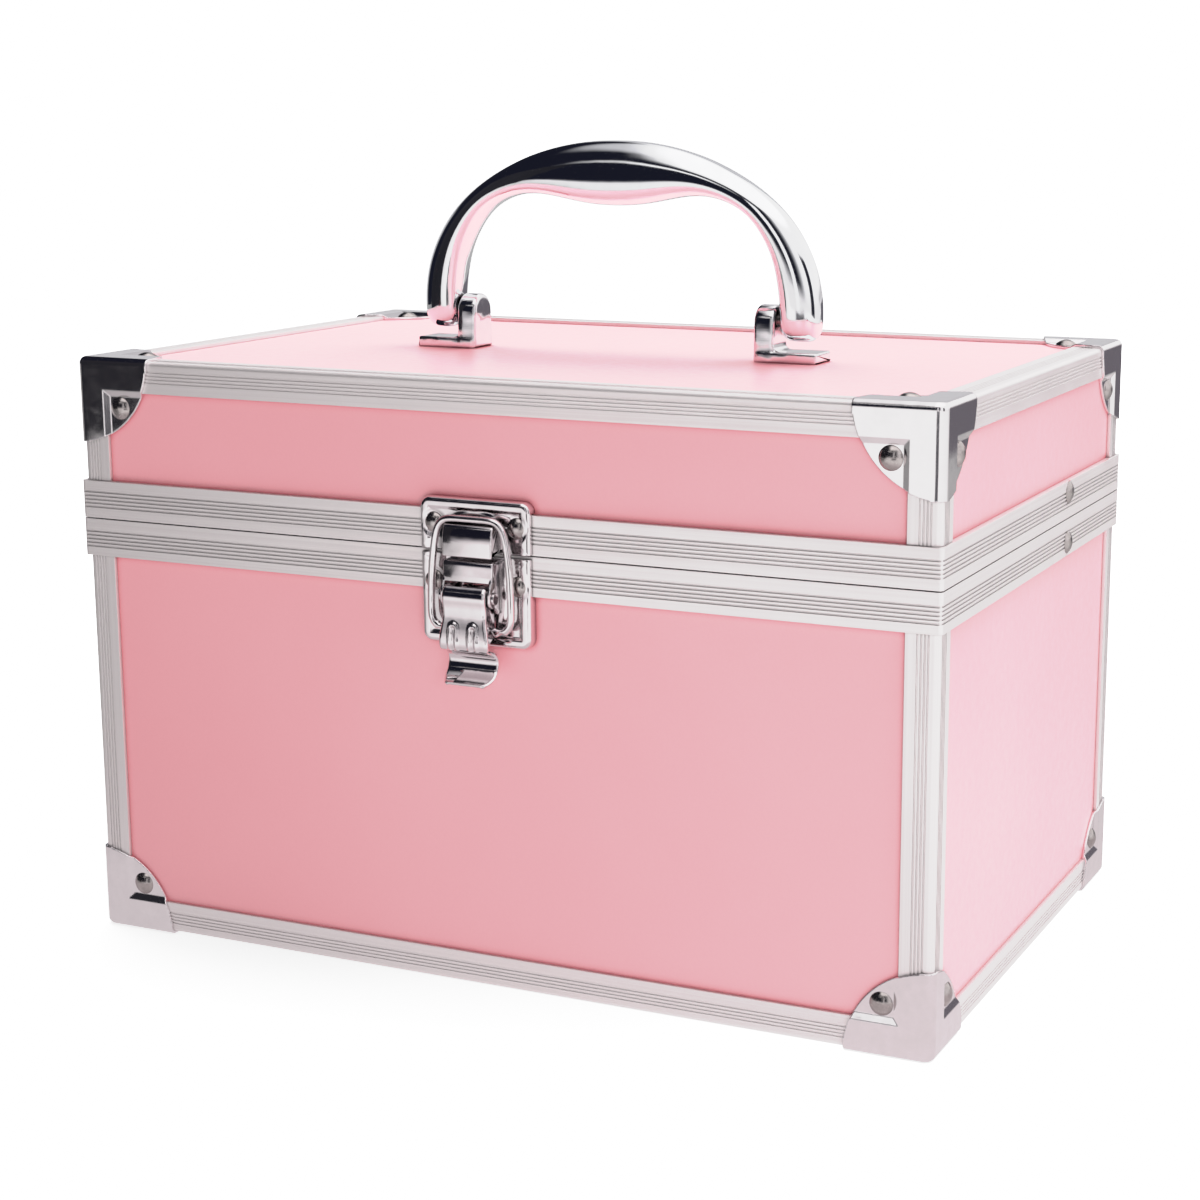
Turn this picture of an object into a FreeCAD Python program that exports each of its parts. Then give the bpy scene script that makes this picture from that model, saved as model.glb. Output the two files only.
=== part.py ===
import FreeCAD, Part
import math
import os

V = FreeCAD.Vector
os.makedirs("parts", exist_ok=True)

# Makeup train case, millimetres. +X right, +Z up, the latch side faces -Y.
# Driving dimensions
W = 240.0            # width over the rims
D = 160.0            # depth over the rims
H = 157.0            # height over the corner guards, without the handle
HX, HY = W / 2, D / 2
SEAM_LO = 113.95     # top of the base rim
SEAM_HI = 114.25     # underside of the lid rim
RIM_LO = 104.0       # lower edge of the base rim
RIM_HI = 124.2       # upper edge of the lid rim
EXT = 0.75           # inset of the edge extrusions below the rim envelope
PAN = 1.75           # inset of the panel face below the rim envelope
PANEL_T = 3.5        # panel board thickness
LEG = 9.0            # visible leg width of the edge extrusions
CORE = 6.3           # outer core size of the edge extrusion
EDGE_RV = 2.0        # outer rounding of the upright edges of the extrusions
EDGE_RH = 1.05       # outer rounding of the level edges of the extrusions
GUARD_R = 22.5       # radius of the corner guard outline on each face
GUARD_T = 0.75       # guard sheet thickness
GROOVE_W = 0.4       # width of the fine grooves in the edge extrusions
GROOVE_D = 0.16      # their depth
RIM_GW = 0.45        # the same for the rims
RIM_GD = 0.28
HINGE_Y = HY + 3.2   # lid hinge axis
HINGE_Z = 114.1
HINGE_R = 2.9        # knuckle radius
HINGE_PIN_R = 1.25
HINGE_X = 66.0       # centre of each rear hinge
HINGE_L = 56.0       # length of each rear hinge
STAY_Y = 26.0        # side rivets of the tray linkage
STAY_ZL = 121.2
STAY_ZB = 107.7
TRAY_T_Y = STAY_Y - (HINGE_Y - STAY_Y)               # tray pivot
TRAY_T_Z = STAY_ZL + STAY_ZB - HINGE_Z
TRAY_HX = 107.3
TRAY_Y0, TRAY_Y1 = -66.0, 44.0
TRAY_Z0, TRAY_Z1 = 83.0, 110.0
PIVOT_P, PIVOT_Z = 4.6, 103.6    # latch lever pivot: proud of the rim face, height
BAIL_P, BAIL_Z = 3.6, 95.2       # bail end in the lever
HANDLE_PIN_Z = 166.0
SHIFT_Y = 1.325      # moves the whole case so that its box is centred on the origin

PARTS = {}


def box(x0, x1, y0, y1, z0, z1):
    x0, x1 = sorted((x0, x1))
    y0, y1 = sorted((y0, y1))
    z0, z1 = sorted((z0, z1))
    return Part.makeBox(x1 - x0, y1 - y0, z1 - z0, V(x0, y0, z0))


def fuse(*shapes):
    s = shapes[0]
    if len(shapes) > 1:
        s = s.fuse(list(shapes[1:]))
    return s.removeSplitter()


def cyl(axis, r, a0, a1, c1, c2):
    # cylinder along an axis from a0 to a1; c1, c2 are the other two coordinates in X, Y, Z order
    a0, a1 = sorted((a0, a1))
    if axis == "x":
        return Part.makeCylinder(r, a1 - a0, V(a0, c1, c2), V(1, 0, 0))
    if axis == "y":
        return Part.makeCylinder(r, a1 - a0, V(c1, a0, c2), V(0, 1, 0))
    return Part.makeCylinder(r, a1 - a0, V(c1, c2, a0), V(0, 0, 1))


def inset_box(i, z0, z1, r=0.0):
    b = box(-HX + i, HX - i, -HY + i, HY - i, z0, z1)
    if r > 0:
        es = [e for e in b.Edges if abs(e.Vertexes[0].Point.x - e.Vertexes[1].Point.x) < 1e-6
              and abs(e.Vertexes[0].Point.y - e.Vertexes[1].Point.y) < 1e-6]
        b = b.makeFillet(r, es)
    return b


def ring(i_out, i_in, z0, z1, r=0.0):
    return inset_box(i_out, z0, z1, r).cut(inset_box(i_in, z0 - 1, z1 + 1, max(r - (i_in - i_out), 0.0)))


def prism_x(pts, x0, x1):
    # pts are (y, z)
    w = Part.makePolygon([V(x0, p[0], p[1]) for p in pts] + [V(x0, pts[0][0], pts[0][1])])
    return Part.Face(w).extrude(V(x1 - x0, 0, 0))


def prism_y(pts, y0, y1):
    # pts are (x, z)
    w = Part.makePolygon([V(p[0], y0, p[1]) for p in pts] + [V(pts[0][0], y0, pts[0][1])])
    return Part.Face(w).extrude(V(0, y1 - y0, 0))


def prism_z(pts, z0, z1):
    # pts are (x, y)
    w = Part.makePolygon([V(p[0], p[1], z0) for p in pts] + [V(pts[0][0], pts[0][1], z0)])
    return Part.Face(w).extrude(V(0, 0, z1 - z0))


def compound(shapes):
    return Part.makeCompound(shapes)


def mirror_x(s):
    return s.mirror(V(0, 0, 0), V(1, 0, 0))


def mirror_y(s):
    return s.mirror(V(0, 0, 0), V(0, 1, 0))


def py(p):
    # distance proud of the front rim face to Y
    return -HY - p


def dome(axis, sign, c1, c2, a, r, h):
    # domed rivet head on the plane coordinate a, growing along sign
    big = (r * r + h * h) / (2 * h)
    if axis == "x":
        centre = V(a + sign * (h - big), c1, c2)
        slab = box(a, a + h + 1, c1 - r - 1, c1 + r + 1, c2 - r - 1, c2 + r + 1) if sign > 0 else \
            box(a - h - 1, a, c1 - r - 1, c1 + r + 1, c2 - r - 1, c2 + r + 1)
    elif axis == "y":
        centre = V(c1, a + sign * (h - big), c2)
        slab = box(c1 - r - 1, c1 + r + 1, a, a + h + 1, c2 - r - 1, c2 + r + 1) if sign > 0 else \
            box(c1 - r - 1, c1 + r + 1, a - h - 1, a, c2 - r - 1, c2 + r + 1)
    else:
        centre = V(c1, c2, a + sign * (h - big))
        slab = box(c1 - r - 1, c1 + r + 1, c2 - r - 1, c2 + r + 1, a, a + h + 1) if sign > 0 else \
            box(c1 - r - 1, c1 + r + 1, c2 - r - 1, c2 + r + 1, a - h - 1, a)
    return Part.makeSphere(big, centre).common(slab)


# ------------------------------------------------------------------ edge extrusions
# Envelope of all edge extrusions: a box inset by EXT with every edge rounded.
def rounded_env(i, rv, rh):
    b = box(-HX + i, HX - i, -HY + i, HY - i, i, H - i)
    b = b.makeFillet(rv, [e for e in b.Edges if abs(e.Vertexes[0].Point.z - e.Vertexes[1].Point.z) > 1])
    level = [e for e in b.Edges if all(abs(v.Point.z - i) < 1e-6 for v in e.Vertexes)
             or all(abs(v.Point.z - H + i) < 1e-6 for v in e.Vertexes)]
    return b.makeFillet(rh, level)


env = rounded_env(EXT, EDGE_RV, EDGE_RH)


def angle_profile():
    # cross-section in (u, v): u, v are insets from the two outer faces; returned as boxes
    return [
        (EXT, LEG, EXT, PAN), (EXT, PAN, EXT, LEG),
        (PAN - 0.01, CORE, PAN - 0.01, CORE),
        (CORE - 1.0, 10.0, CORE - 1.0, CORE), (CORE - 1.0, CORE, CORE - 1.0, 10.0),
    ]


GROOVES = (3.1, 4.0, 4.9, 5.8)


def post(sx, sy, z0, z1):
    bs = []
    for u0, u1, v0, v1 in angle_profile():
        x = sorted((sx * (HX - u0), sx * (HX - u1)))
        y = sorted((sy * (HY - v0), sy * (HY - v1)))
        bs.append(box(x[0], x[1], y[0], y[1], z0, z1))
    s = fuse(*bs)
    cuts = []
    for g in GROOVES:
        x = sorted((sx * (HX - g), sx * (HX - g - GROOVE_W)))
        y = sorted((sy * (HY - EXT + 1), sy * (HY - EXT - GROOVE_D)))
        cuts.append(box(x[0], x[1], y[0], y[1], z0 - 1, z1 + 1))
        y = sorted((sy * (HY - g), sy * (HY - g - GROOVE_W)))
        x = sorted((sx * (HX - EXT + 1), sx * (HX - EXT - GROOVE_D)))
        cuts.append(box(x[0], x[1], y[0], y[1], z0 - 1, z1 + 1))
    return s.cut(compound(cuts)).common(env)


def edge_x(sy, top):
    # edge extrusion along X, front (sy -1) or rear (+1), at the bottom or the top
    x0, x1 = -HX + 10.05, HX - 10.05
    bs, cuts = [], []

    def zz(v0, v1):
        return sorted((H - v0, H - v1)) if top else sorted((v0, v1))

    for u0, u1, v0, v1 in angle_profile():
        y = sorted((sy * (HY - u0), sy * (HY - u1)))
        z = zz(v0, v1)
        bs.append(box(x0, x1, y[0], y[1], z[0], z[1]))
    for g in GROOVES:
        y = sorted((sy * (HY - EXT + 1), sy * (HY - EXT - GROOVE_D)))
        z = zz(g, g + GROOVE_W)
        cuts.append(box(x0 - 1, x1 + 1, y[0], y[1], z[0], z[1]))
        y = sorted((sy * (HY - g), sy * (HY - g - GROOVE_W)))
        z = zz(EXT - 1, EXT + GROOVE_D)
        cuts.append(box(x0 - 1, x1 + 1, y[0], y[1], z[0], z[1]))
    return fuse(*bs).cut(compound(cuts)).common(env)


def edge_y(sx, top):
    y0, y1 = -HY + 10.05, HY - 10.05
    bs, cuts = [], []

    def zz(v0, v1):
        return sorted((H - v0, H - v1)) if top else sorted((v0, v1))

    for u0, u1, v0, v1 in angle_profile():
        x = sorted((sx * (HX - u0), sx * (HX - u1)))
        z = zz(v0, v1)
        bs.append(box(x[0], x[1], y0, y1, z[0], z[1]))
    for g in GROOVES:
        x = sorted((sx * (HX - EXT + 1), sx * (HX - EXT - GROOVE_D)))
        z = zz(g, g + GROOVE_W)
        cuts.append(box(x[0], x[1], y0 - 1, y1 + 1, z[0], z[1]))
        x = sorted((sx * (HX - g), sx * (HX - g - GROOVE_W)))
        z = zz(EXT - 1, EXT + GROOVE_D)
        cuts.append(box(x[0], x[1], y0 - 1, y1 + 1, z[0], z[1]))
    return fuse(*bs).cut(compound(cuts)).common(env)


PARTS["base_edges_side"] = compound([edge_y(-1, False), edge_y(1, False)])
PARTS["lid_edges_side"] = compound([edge_y(-1, True), edge_y(1, True)])
PARTS["base_edge_front"] = edge_x(-1, False)
PARTS["base_edge_rear"] = edge_x(1, False)
PARTS["lid_edge_front"] = edge_x(-1, True)
PARTS["lid_edge_rear"] = edge_x(1, True)
corners4 = [(-1, -1), (1, -1), (-1, 1), (1, 1)]
PARTS["base_posts"] = compound([post(sx, sy, EXT, RIM_LO - 0.05) for sx, sy in corners4])
PARTS["lid_posts"] = compound([post(sx, sy, RIM_HI + 0.05, H - EXT) for sx, sy in corners4])

# ------------------------------------------------------------------ rims
base_rim = fuse(
    ring(0, 1.7, RIM_LO, 113.0, 1.2),
    ring(0, 8.1, 112.6, SEAM_LO, 1.2),
    ring(5.3, 6.5, 105.0, 112.7),
    ring(6.9, 8.1, 113.0, 116.0),
)
lid_rim = fuse(
    ring(0, 1.7, 115.0, RIM_HI, 1.2),
    ring(0, 6.4, SEAM_HI, 115.6, 1.2),
    ring(5.3, 6.4, 115.5, 123.0),
)
for i in range(5):
    base_rim = base_rim.cut(ring(-1, RIM_GD, RIM_LO + 2.35 + i, RIM_LO + 2.35 + i + RIM_GW))
    lid_rim = lid_rim.cut(ring(-1, RIM_GD, SEAM_HI + 2.75 + i, SEAM_HI + 2.75 + i + RIM_GW))

# ------------------------------------------------------------------ panels
PI, PO = PAN + PANEL_T, PAN
px = HX - CORE - 0.05
pyy = HY - CORE - 0.05
zb0, zb1 = CORE + 0.05, 112.55
zl0, zl1 = 115.65, H - CORE - 0.05
panels = {
    "base_panel_front": box(-px, px, -HY + PO, -HY + PI, zb0, zb1),
    "base_panel_rear": box(-px, px, HY - PI, HY - PO, zb0, zb1),
    "base_panel_left": box(-HX + PO, -HX + PI, -pyy, pyy, zb0, zb1),
    "base_panel_right": box(HX - PI, HX - PO, -pyy, pyy, zb0, zb1),
    "base_panel_bottom": box(-px, px, -pyy, pyy, PO, PI),
    "lid_panel_front": box(-px, px, -HY + PO, -HY + PI, zl0, zl1),
    "lid_panel_rear": box(-px, px, HY - PI, HY - PO, zl0, zl1),
    "lid_panel_left": box(-HX + PO, -HX + PI, -pyy, pyy, zl0, zl1),
    "lid_panel_right": box(HX - PI, HX - PO, -pyy, pyy, zl0, zl1),
    "lid_panel_top": box(-px, px, -pyy, pyy, H - PI, H - PO),
}

# ------------------------------------------------------------------ corner guards
genv = rounded_env(0.0, EDGE_RV + GUARD_T, EDGE_RH + GUARD_T)
genv_in = env


def guard(sx, sy, top):
    cz = H if top else 0.0
    cx, cy = sx * HX, sy * HY

    def bx(u0, u1, v0, v1, w0, w1):
        x = sorted((sx * (HX - u0), sx * (HX - u1)))
        y = sorted((sy * (HY - v0), sy * (HY - v1)))
        z = sorted((H - w0, H - w1)) if top else (w0, w1)
        return box(x[0], x[1], y[0], y[1], z[0], z[1])

    def disc(axis, t0, t1):
        # quarter disc slab on the face at depth t0..t1
        if axis == "x":
            a = sorted((sx * (HX - t0), sx * (HX - t1)))
            return cyl("x", GUARD_R, a[0], a[1], cy, cz)
        if axis == "y":
            a = sorted((sy * (HY - t0), sy * (HY - t1)))
            return cyl("y", GUARD_R, a[0], a[1], cx, cz)
        a = sorted((H - t0, H - t1)) if top else (t0, t1)
        return cyl("z", GUARD_R, a[0], a[1], cx, cy)

    # wedge removed over the pressed-in corner field: its two sides slope down to the field
    s0, s1, sd = 8.5, 10.15, 0.95
    k = (s1 - s0) / sd
    prof = [(s0 - k, -1.0), (31.0, -1.0), (31.0, sd), (s1, sd)]

    def gx(u):
        return sx * (HX - u)

    def gy(u):
        return sy * (HY - u)

    def gz(u):
        return H - u if top else u

    def field(ax):
        if ax == "x":
            p1 = prism_z([(gx(w), gy(u)) for u, w in prof], gz(6), gz(32))
            p2 = prism_y([(gx(w), gz(u)) for u, w in prof], gy(6), gy(32))
        elif ax == "y":
            p1 = prism_z([(gx(u), gy(w)) for u, w in prof], gz(6), gz(32))
            p2 = prism_x([(gy(w), gz(u)) for u, w in prof], gx(6), gx(32))
        else:
            p1 = prism_y([(gx(u), gz(w)) for u, w in prof], gy(6), gy(32))
            p2 = prism_x([(gy(u), gz(w)) for u, w in prof], gx(6), gx(32))
        return p1.common(p2)

    shell = genv.cut(genv_in)
    zone = fuse(disc("x", 0, 3.6), disc("y", 0, 3.6), disc("z", 0, 3.6))
    oct_box = bx(0, 30, 0, 30, 0, 30)
    s = shell.common(oct_box).common(zone)
    a = 9.05
    s = s.cut(compound([bx(-1, 0.9, a, 30, a, 30), bx(a, 30, -1, 0.9, a, 30), bx(a, 30, a, 30, -1, 0.9)]))
    pockets = []
    for ax in "xyz":
        d = disc(ax, 0, PAN).common(oct_box)
        if ax == "x":
            keep = bx(0, PAN, a, 30, a, 30)
        elif ax == "y":
            keep = bx(a, 30, 0, PAN, a, 30)
        else:
            keep = bx(a, 30, a, 30, 0, PAN)
        pockets.append(d.common(keep))
    s = s.fuse(pockets).cut(compound([field("x"), field("y"), field("z")]))
    return s.removeSplitter()


RIVET_U = 13.2


def guard_rivets(sx, sy, top):
    cz = (H - RIVET_U) if top else RIVET_U
    zf = (H - 0.95) if top else 0.95
    sz = 1 if top else -1
    rx, ry = sx * (HX - RIVET_U), sy * (HY - RIVET_U)
    out = []
    r, h = 3.0, 1.35
    hx, hy = sx * (HX - 0.95), sy * (HY - 0.95)
    # heads, then shanks through guard and panel with a formed end inside
    def shank(axis, s, a, c1, c2):
        a2 = a - s * 4.9
        lo, hi = sorted((a + s * 0.05, a2))
        return cyl(axis, 1.5, lo, hi, c1, c2)
    out.append(fuse(dome("x", sx, ry, cz, hx, r, h), shank("x", sx, hx, ry, cz)))
    out.append(fuse(dome("y", sy, rx, cz, hy, r, h), shank("y", sy, hy, rx, cz)))
    if top:
        out.append(fuse(dome("z", sz, rx, ry, zf, r, h), shank("z", sz, zf, rx, ry)))
    else:
        # flush head on the underside, so the case stands on the guards
        out.append(fuse(cyl("z", r, 0.25, 0.95, rx, ry), shank("z", sz, zf, rx, ry)))
    return out


g_riv_base, g_riv_lid = [], []
for sy, ny in ((-1, "front"), (1, "rear")):
    for sx, nx in ((-1, "left"), (1, "right")):
        gb = guard(sx, sy, False)
        gl = guard(sx, sy, True)
        rb = guard_rivets(sx, sy, False)
        rl = guard_rivets(sx, sy, True)
        g_riv_base += rb
        g_riv_lid += rl
        PARTS["base_guard_%s_%s" % (ny, nx)] = gb.cut(compound(rb))
        PARTS["lid_guard_%s_%s" % (ny, nx)] = gl.cut(compound(rl))
PARTS["base_guard_rivets"] = compound(g_riv_base)
PARTS["lid_guard_rivets"] = compound(g_riv_lid)

# ------------------------------------------------------------------ latch
def rounded_plate(x, z0, z1, y0, y1, r, corners):
    # plate in the XZ plane, corners: list of (sx, top) to round
    b = box(-x, x, y0, y1, z0, z1)
    es = []
    for e in b.Edges:
        p, q = e.Vertexes[0].Point, e.Vertexes[1].Point
        if abs(p.x - q.x) < 1e-6 and abs(p.z - q.z) < 1e-6:
            key = (1 if p.x > 0 else -1, p.z > (z0 + z1) / 2)
            if key in corners:
                es.append(e)
    return b.makeFillet(r, es)


TOPC = [(-1, True), (1, True)]
BOTC = [(-1, False), (1, False)]
# keeper plate on the lid
kx, kz0, kz1 = 15.4, 114.35, 127.3
k_out = rounded_plate(kx, kz0, kz1, py(1.5), py(-1.7), 2.6, TOPC)
k_cut_front = rounded_plate(kx - 1.2, kz0 - 1, kz1 - 1.2, py(2.0), py(0.9), 1.6, TOPC)
k_cut_back = rounded_plate(kx - 1.2, kz0 - 1, kz1 - 1.2, py(0.0), py(-2.2), 1.6, TOPC)
keeper = k_out.cut(k_cut_front).cut(k_cut_back).cut(box(-kx - 1, kx + 1, py(0), py(-3), kz0 - 1, RIM_HI + 0.1))
# curved swelling over the bail
sw = cyl("y", 9.4, py(1.5), py(0.85), 0, 117.5).cut(cyl("y", 8.4, py(2), py(0.8), 0, 117.5))
sw = sw.common(box(-9.5, 9.5, py(2), py(0.5), 120.5, 128))
# hook lug
hook = fuse(
    box(-6.9, 6.9, py(5.3), py(4.5), 113.6, 121.2),
    box(-6.9, -6.1, py(4.6), py(0.85), 115.0, 121.2),
    box(6.1, 6.9, py(4.6), py(0.85), 115.0, 121.2),
    box(-6.9, 6.9, py(4.6), py(0.85), 120.4, 121.2),
)
fe = [e for e in hook.Edges if all(abs(v.Point.y - py(5.3)) < 1e-6 for v in e.Vertexes)]
hook = hook.makeFillet(0.6, fe)
keeper = fuse(keeper, sw, hook)
k_riv = []
for x in (-11.6, 11.6):
    k_riv.append(fuse(dome("y", -1, x, 120.8, py(0.9), 2.6, 1.15), cyl("y", 1.25, py(0.95), py(-7.4), x, 120.8),
                      cyl("y", 2.4, py(-7.2), py(-6.4), x, 120.8)))
keeper = keeper.cut(compound(k_riv))

# base plate with the pressed bridge and the pivot ears
bx_, bz0, bz1 = 15.3, 90.6, 113.3
b_out = rounded_plate(bx_, bz0, bz1, py(1.5), py(-1.7), 2.6, BOTC)
b_cut_front = rounded_plate(bx_ - 1.2, bz0 + 1.2, bz1 + 1, py(2.0), py(0.9), 1.6, BOTC)
b_cut_back = rounded_plate(bx_ - 1.2, bz0 + 1.2, bz1 + 1, py(0.0), py(-2.2), 1.6, BOTC)
latch_base = b_out.cut(b_cut_front).cut(b_cut_back).cut(box(-bx_ - 1, bx_ + 1, py(0), py(-3), RIM_LO - 0.1, bz1 + 1))
bridge = fuse(
    box(-6.9, 6.9, py(5.2), py(4.4), 107.2, 112.4),
    box(-6.9, 6.9, py(4.5), py(0.85), 111.6, 112.4),
)
fe = [e for e in bridge.Edges if all(abs(v.Point.y - py(5.2)) < 1e-6 for v in e.Vertexes)
      and abs(e.Vertexes[0].Point.z - e.Vertexes[1].Point.z) < 1e-6]
bridge = bridge.makeFillet(0.6, fe)
ear_pts = [(py(0.85), 100.2), (py(0.85), 112.0), (py(4.6), 112.0), (py(5.0), 108.5), (py(6.6), 105.4), (py(6.6), 102.2),
           (py(5.2), 101.2), (py(3.6), 100.9), (py(2.2), 99.0)]
ears = [prism_x(ear_pts, -6.9, -6.05), prism_x(ear_pts, 6.05, 6.9)]
latch_base = fuse(latch_base, bridge, *ears)
pivot_y = py(PIVOT_P)
latch_pin = fuse(cyl("x", 1.0, -7.4, 7.4, pivot_y, PIVOT_Z),
                 cyl("x", 1.5, -7.6, -6.95, pivot_y, PIVOT_Z), cyl("x", 1.5, 6.95, 7.6, pivot_y, PIVOT_Z))
latch_base = latch_base.cut(cyl("x", 1.0, -8, 8, pivot_y, PIVOT_Z))
b_riv = []
for x in (-11.9, 11.9):
    b_riv.append(fuse(dome("y", -1, x, 106.3, py(0.9), 2.6, 1.15), cyl("y", 1.25, py(0.95), py(-7.4), x, 106.3),
                      cyl("y", 2.4, py(-7.3), py(-6.5), x, 106.3)))
latch_base = latch_base.cut(compound(b_riv))

# lever: face plate, side flanges, embossed ribs and the finger tab
bail_y = py(BAIL_P)
fl_pts = [(py(7.4), 91.0), (py(7.4), 101.4), (py(6.6), 103.0), (py(5.9), 105.2), (py(4.6), 105.8), (py(3.2), 105.2),
          (py(2.6), 103.6), (py(2.4), 98.0), (py(1.9), 95.6), (py(2.3), 93.8), (py(4.2), 92.6), (py(6.2), 91.0)]
flanges = [prism_x(fl_pts, -5.85, -5.05), prism_x(fl_pts, 5.05, 5.85)]
face = prism_y([(-6.9, 91.0), (6.9, 91.0), (6.4, 96.0), (6.1, 101.4), (5.9, PIVOT_Z), (-5.9, PIVOT_Z), (-6.1, 101.4),
                (-6.4, 96.0)], py(8.0), py(7.2))
# the top of the face plate curls over the pin
CURL_O, CURL_I, CURL_A = 3.4, 2.6, 48.0
curl = cyl("x", CURL_O, -5.9, 5.9, py(PIVOT_P), PIVOT_Z).cut(cyl("x", CURL_I, -6.5, 6.5, py(PIVOT_P), PIVOT_Z))
ca, sa = math.cos(math.radians(CURL_A)), math.sin(math.radians(CURL_A))
sector = prism_x([(py(PIVOT_P), PIVOT_Z), (py(PIVOT_P + 6), PIVOT_Z), (py(PIVOT_P + 6), PIVOT_Z + 6 * sa),
                  (py(PIVOT_P + 6 * ca), PIVOT_Z + 6 * sa)], -7, 7)
curl = curl.common(sector)
hub = [cyl("x", 2.7, -5.85, -5.05, py(PIVOT_P), PIVOT_Z), cyl("x", 2.7, 5.05, 5.85, py(PIVOT_P), PIVOT_Z)]
ribs = []
for x in (-2.9, 2.9):
    rb_ = cyl("y", 1.9, py(8.0) - 0.75, py(7.3), x, 94.2)
    rb_ = fuse(rb_, box(x - 1.9, x + 1.9, py(8.0) - 0.75, py(7.3), 91.2, 94.2))
    fe = [e for e in rb_.Edges if all(abs(v.Point.y - (py(8.0) - 0.75)) < 1e-6 for v in e.Vertexes)]
    try:
        rb_ = rb_.makeFillet(0.6, fe)
    except Exception:
        pass
    ribs.append(rb_)
tab_mid = [(7.6, 91.4), (6.9, 90.1), (4.9, 89.5), (3.3, 88.6), (2.7, 87.2), (3.2, 85.6), (4.6, 84.0), (6.4, 82.8), (8.0, 82.3)]


def offset_strip(mid, t):
    left, right = [], []
    n = len(mid)
    for i, (p, z) in enumerate(mid):
        a = mid[max(i - 1, 0)]
        b = mid[min(i + 1, n - 1)]
        dx, dz = b[0] - a[0], b[1] - a[1]
        L = math.hypot(dx, dz)
        nx_, nz_ = -dz / L, dx / L
        left.append((p + nx_ * t / 2, z + nz_ * t / 2))
        right.append((p - nx_ * t / 2, z - nz_ * t / 2))
    return left, right


lf, rt = offset_strip(tab_mid, 0.8)


def spline_strip(left, right, x0, x1):
    a = Part.BSplineCurve()
    a.interpolate([V(x0, py(p), z) for p, z in left])
    b = Part.BSplineCurve()
    b.interpolate([V(x0, py(p), z) for p, z in right])
    w = Part.Wire([a.toShape(), Part.makeLine(V(x0, py(left[-1][0]), left[-1][1]), V(x0, py(right[-1][0]), right[-1][1])),
                   Part.Wire([b.toShape()]).Edges[0], Part.makeLine(V(x0, py(right[0][0]), right[0][1]), V(x0, py(left[0][0]), left[0][1]))])
    return Part.Face(w).extrude(V(x1 - x0, 0, 0))


try:
    tab = spline_strip(lf, rt, -7.1, 7.1)
    if not tab.isValid():
        raise ValueError("tab")
except Exception:
    tab = prism_x([(py(p), z) for p, z in lf] + [(py(p), z) for p, z in reversed(rt)], -7.1, 7.1)
corner_cut = rounded_plate(7.1, 81.85, 91.6, py(12), py(0), 2.2, BOTC)
tab = tab.common(corner_cut)
lever = fuse(face, curl, *flanges)
lever = fuse(lever, *hub)
lever = fuse(lever, *ribs)
lever = fuse(lever, tab)
lever = lever.cut(cyl("x", 1.06, -8, 8, pivot_y, PIVOT_Z)).cut(cyl("x", 1.0, -8, 8, bail_y, BAIL_Z))

# wire bail
BR = 0.95
BAIL_TOP_P = 3.4


def bail_shape():
    # half of the wire centreline, lever end first, then mirrored; one smooth planar curve
    half = [(4.95, 95.2), (6.5, 95.2), (8.2, 95.25), (9.7, 95.75), (10.7, 96.9), (11.1, 98.6), (11.15, 101.0),
            (11.05, 105.0), (10.7, 111.0), (10.15, 115.5), (9.5, 118.8), (8.6, 120.9), (7.3, 122.1), (5.6, 122.55),
            (3.0, 122.65), (0.0, 122.65)]
    pts = half + [(-x, z) for x, z in reversed(half[:-1])]

    def pt(x, z):
        t = (z - 95.2) / (122.65 - 95.2)
        return V(x, py(BAIL_P + (BAIL_TOP_P - BAIL_P) * t), z)

    c = Part.BSplineCurve()
    c.interpolate([pt(x, z) for x, z in pts])
    n = 56
    secs = []
    for i in range(n + 1):
        u = c.FirstParameter + (c.LastParameter - c.FirstParameter) * i / n
        sp = Part.BSplineCurve()
        sp.interpolate(ring_pts(c, u), PeriodicFlag=True)
        secs.append(Part.Wire([sp.toShape()]))
    return Part.makeLoft(secs, True, False)


def ring_pts(c, u, n=16):
    q, t = c.value(u), c.tangent(u)[0]
    side = t.cross(V(0, 1, 0))
    side.normalize()
    up = side.cross(t)
    up.normalize()
    return [q + side * (BR * math.cos(2 * math.pi * k / n)) + up * (BR * math.sin(2 * math.pi * k / n)) for k in range(n)]


bail = bail_shape()

# ------------------------------------------------------------------ rear hinges
def hinge_piece(cx, lid):
    # five knuckles: base 0, 2, 4 and lid 1, 3
    kl = HINGE_L / 5
    own = (1, 3) if lid else (0, 2, 4)
    x0 = cx - HINGE_L / 2
    s = []
    if lid:
        s.append(box(x0, x0 + HINGE_L, HY, HY + 1.2, HINGE_Z + 3.3, 123.9))
    else:
        s.append(box(x0, x0 + HINGE_L, HY, HY + 1.2, 104.3, HINGE_Z - 3.3))
    for i in own:
        a, b = x0 + i * kl + (0.1 if i else 0), x0 + (i + 1) * kl - (0.1 if i < 4 else 0)
        s.append(cyl("x", HINGE_R, a, b, HINGE_Y, HINGE_Z))
        if lid:
            s.append(box(a, b, HY + 0.32, HY + 1.2, HINGE_Z, HINGE_Z + 3.4))
        else:
            s.append(box(a, b, HY + 0.32, HY + 1.2, HINGE_Z - 3.4, HINGE_Z))
    s = fuse(*s)
    hole = HINGE_PIN_R + (0.05 if lid else 0.0)
    return s.cut(cyl("x", hole, x0 - 1, x0 + HINGE_L + 1, HINGE_Y, HINGE_Z))


def hinge_rivet(x, z):
    return fuse(dome("y", 1, x, z, HY + 1.2, 2.1, 0.8), cyl("y", 1.2, HY - 7.2, HY + 1.25, x, z),
                cyl("y", 2.0, HY - 7.3, HY - 6.5, x, z))


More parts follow.
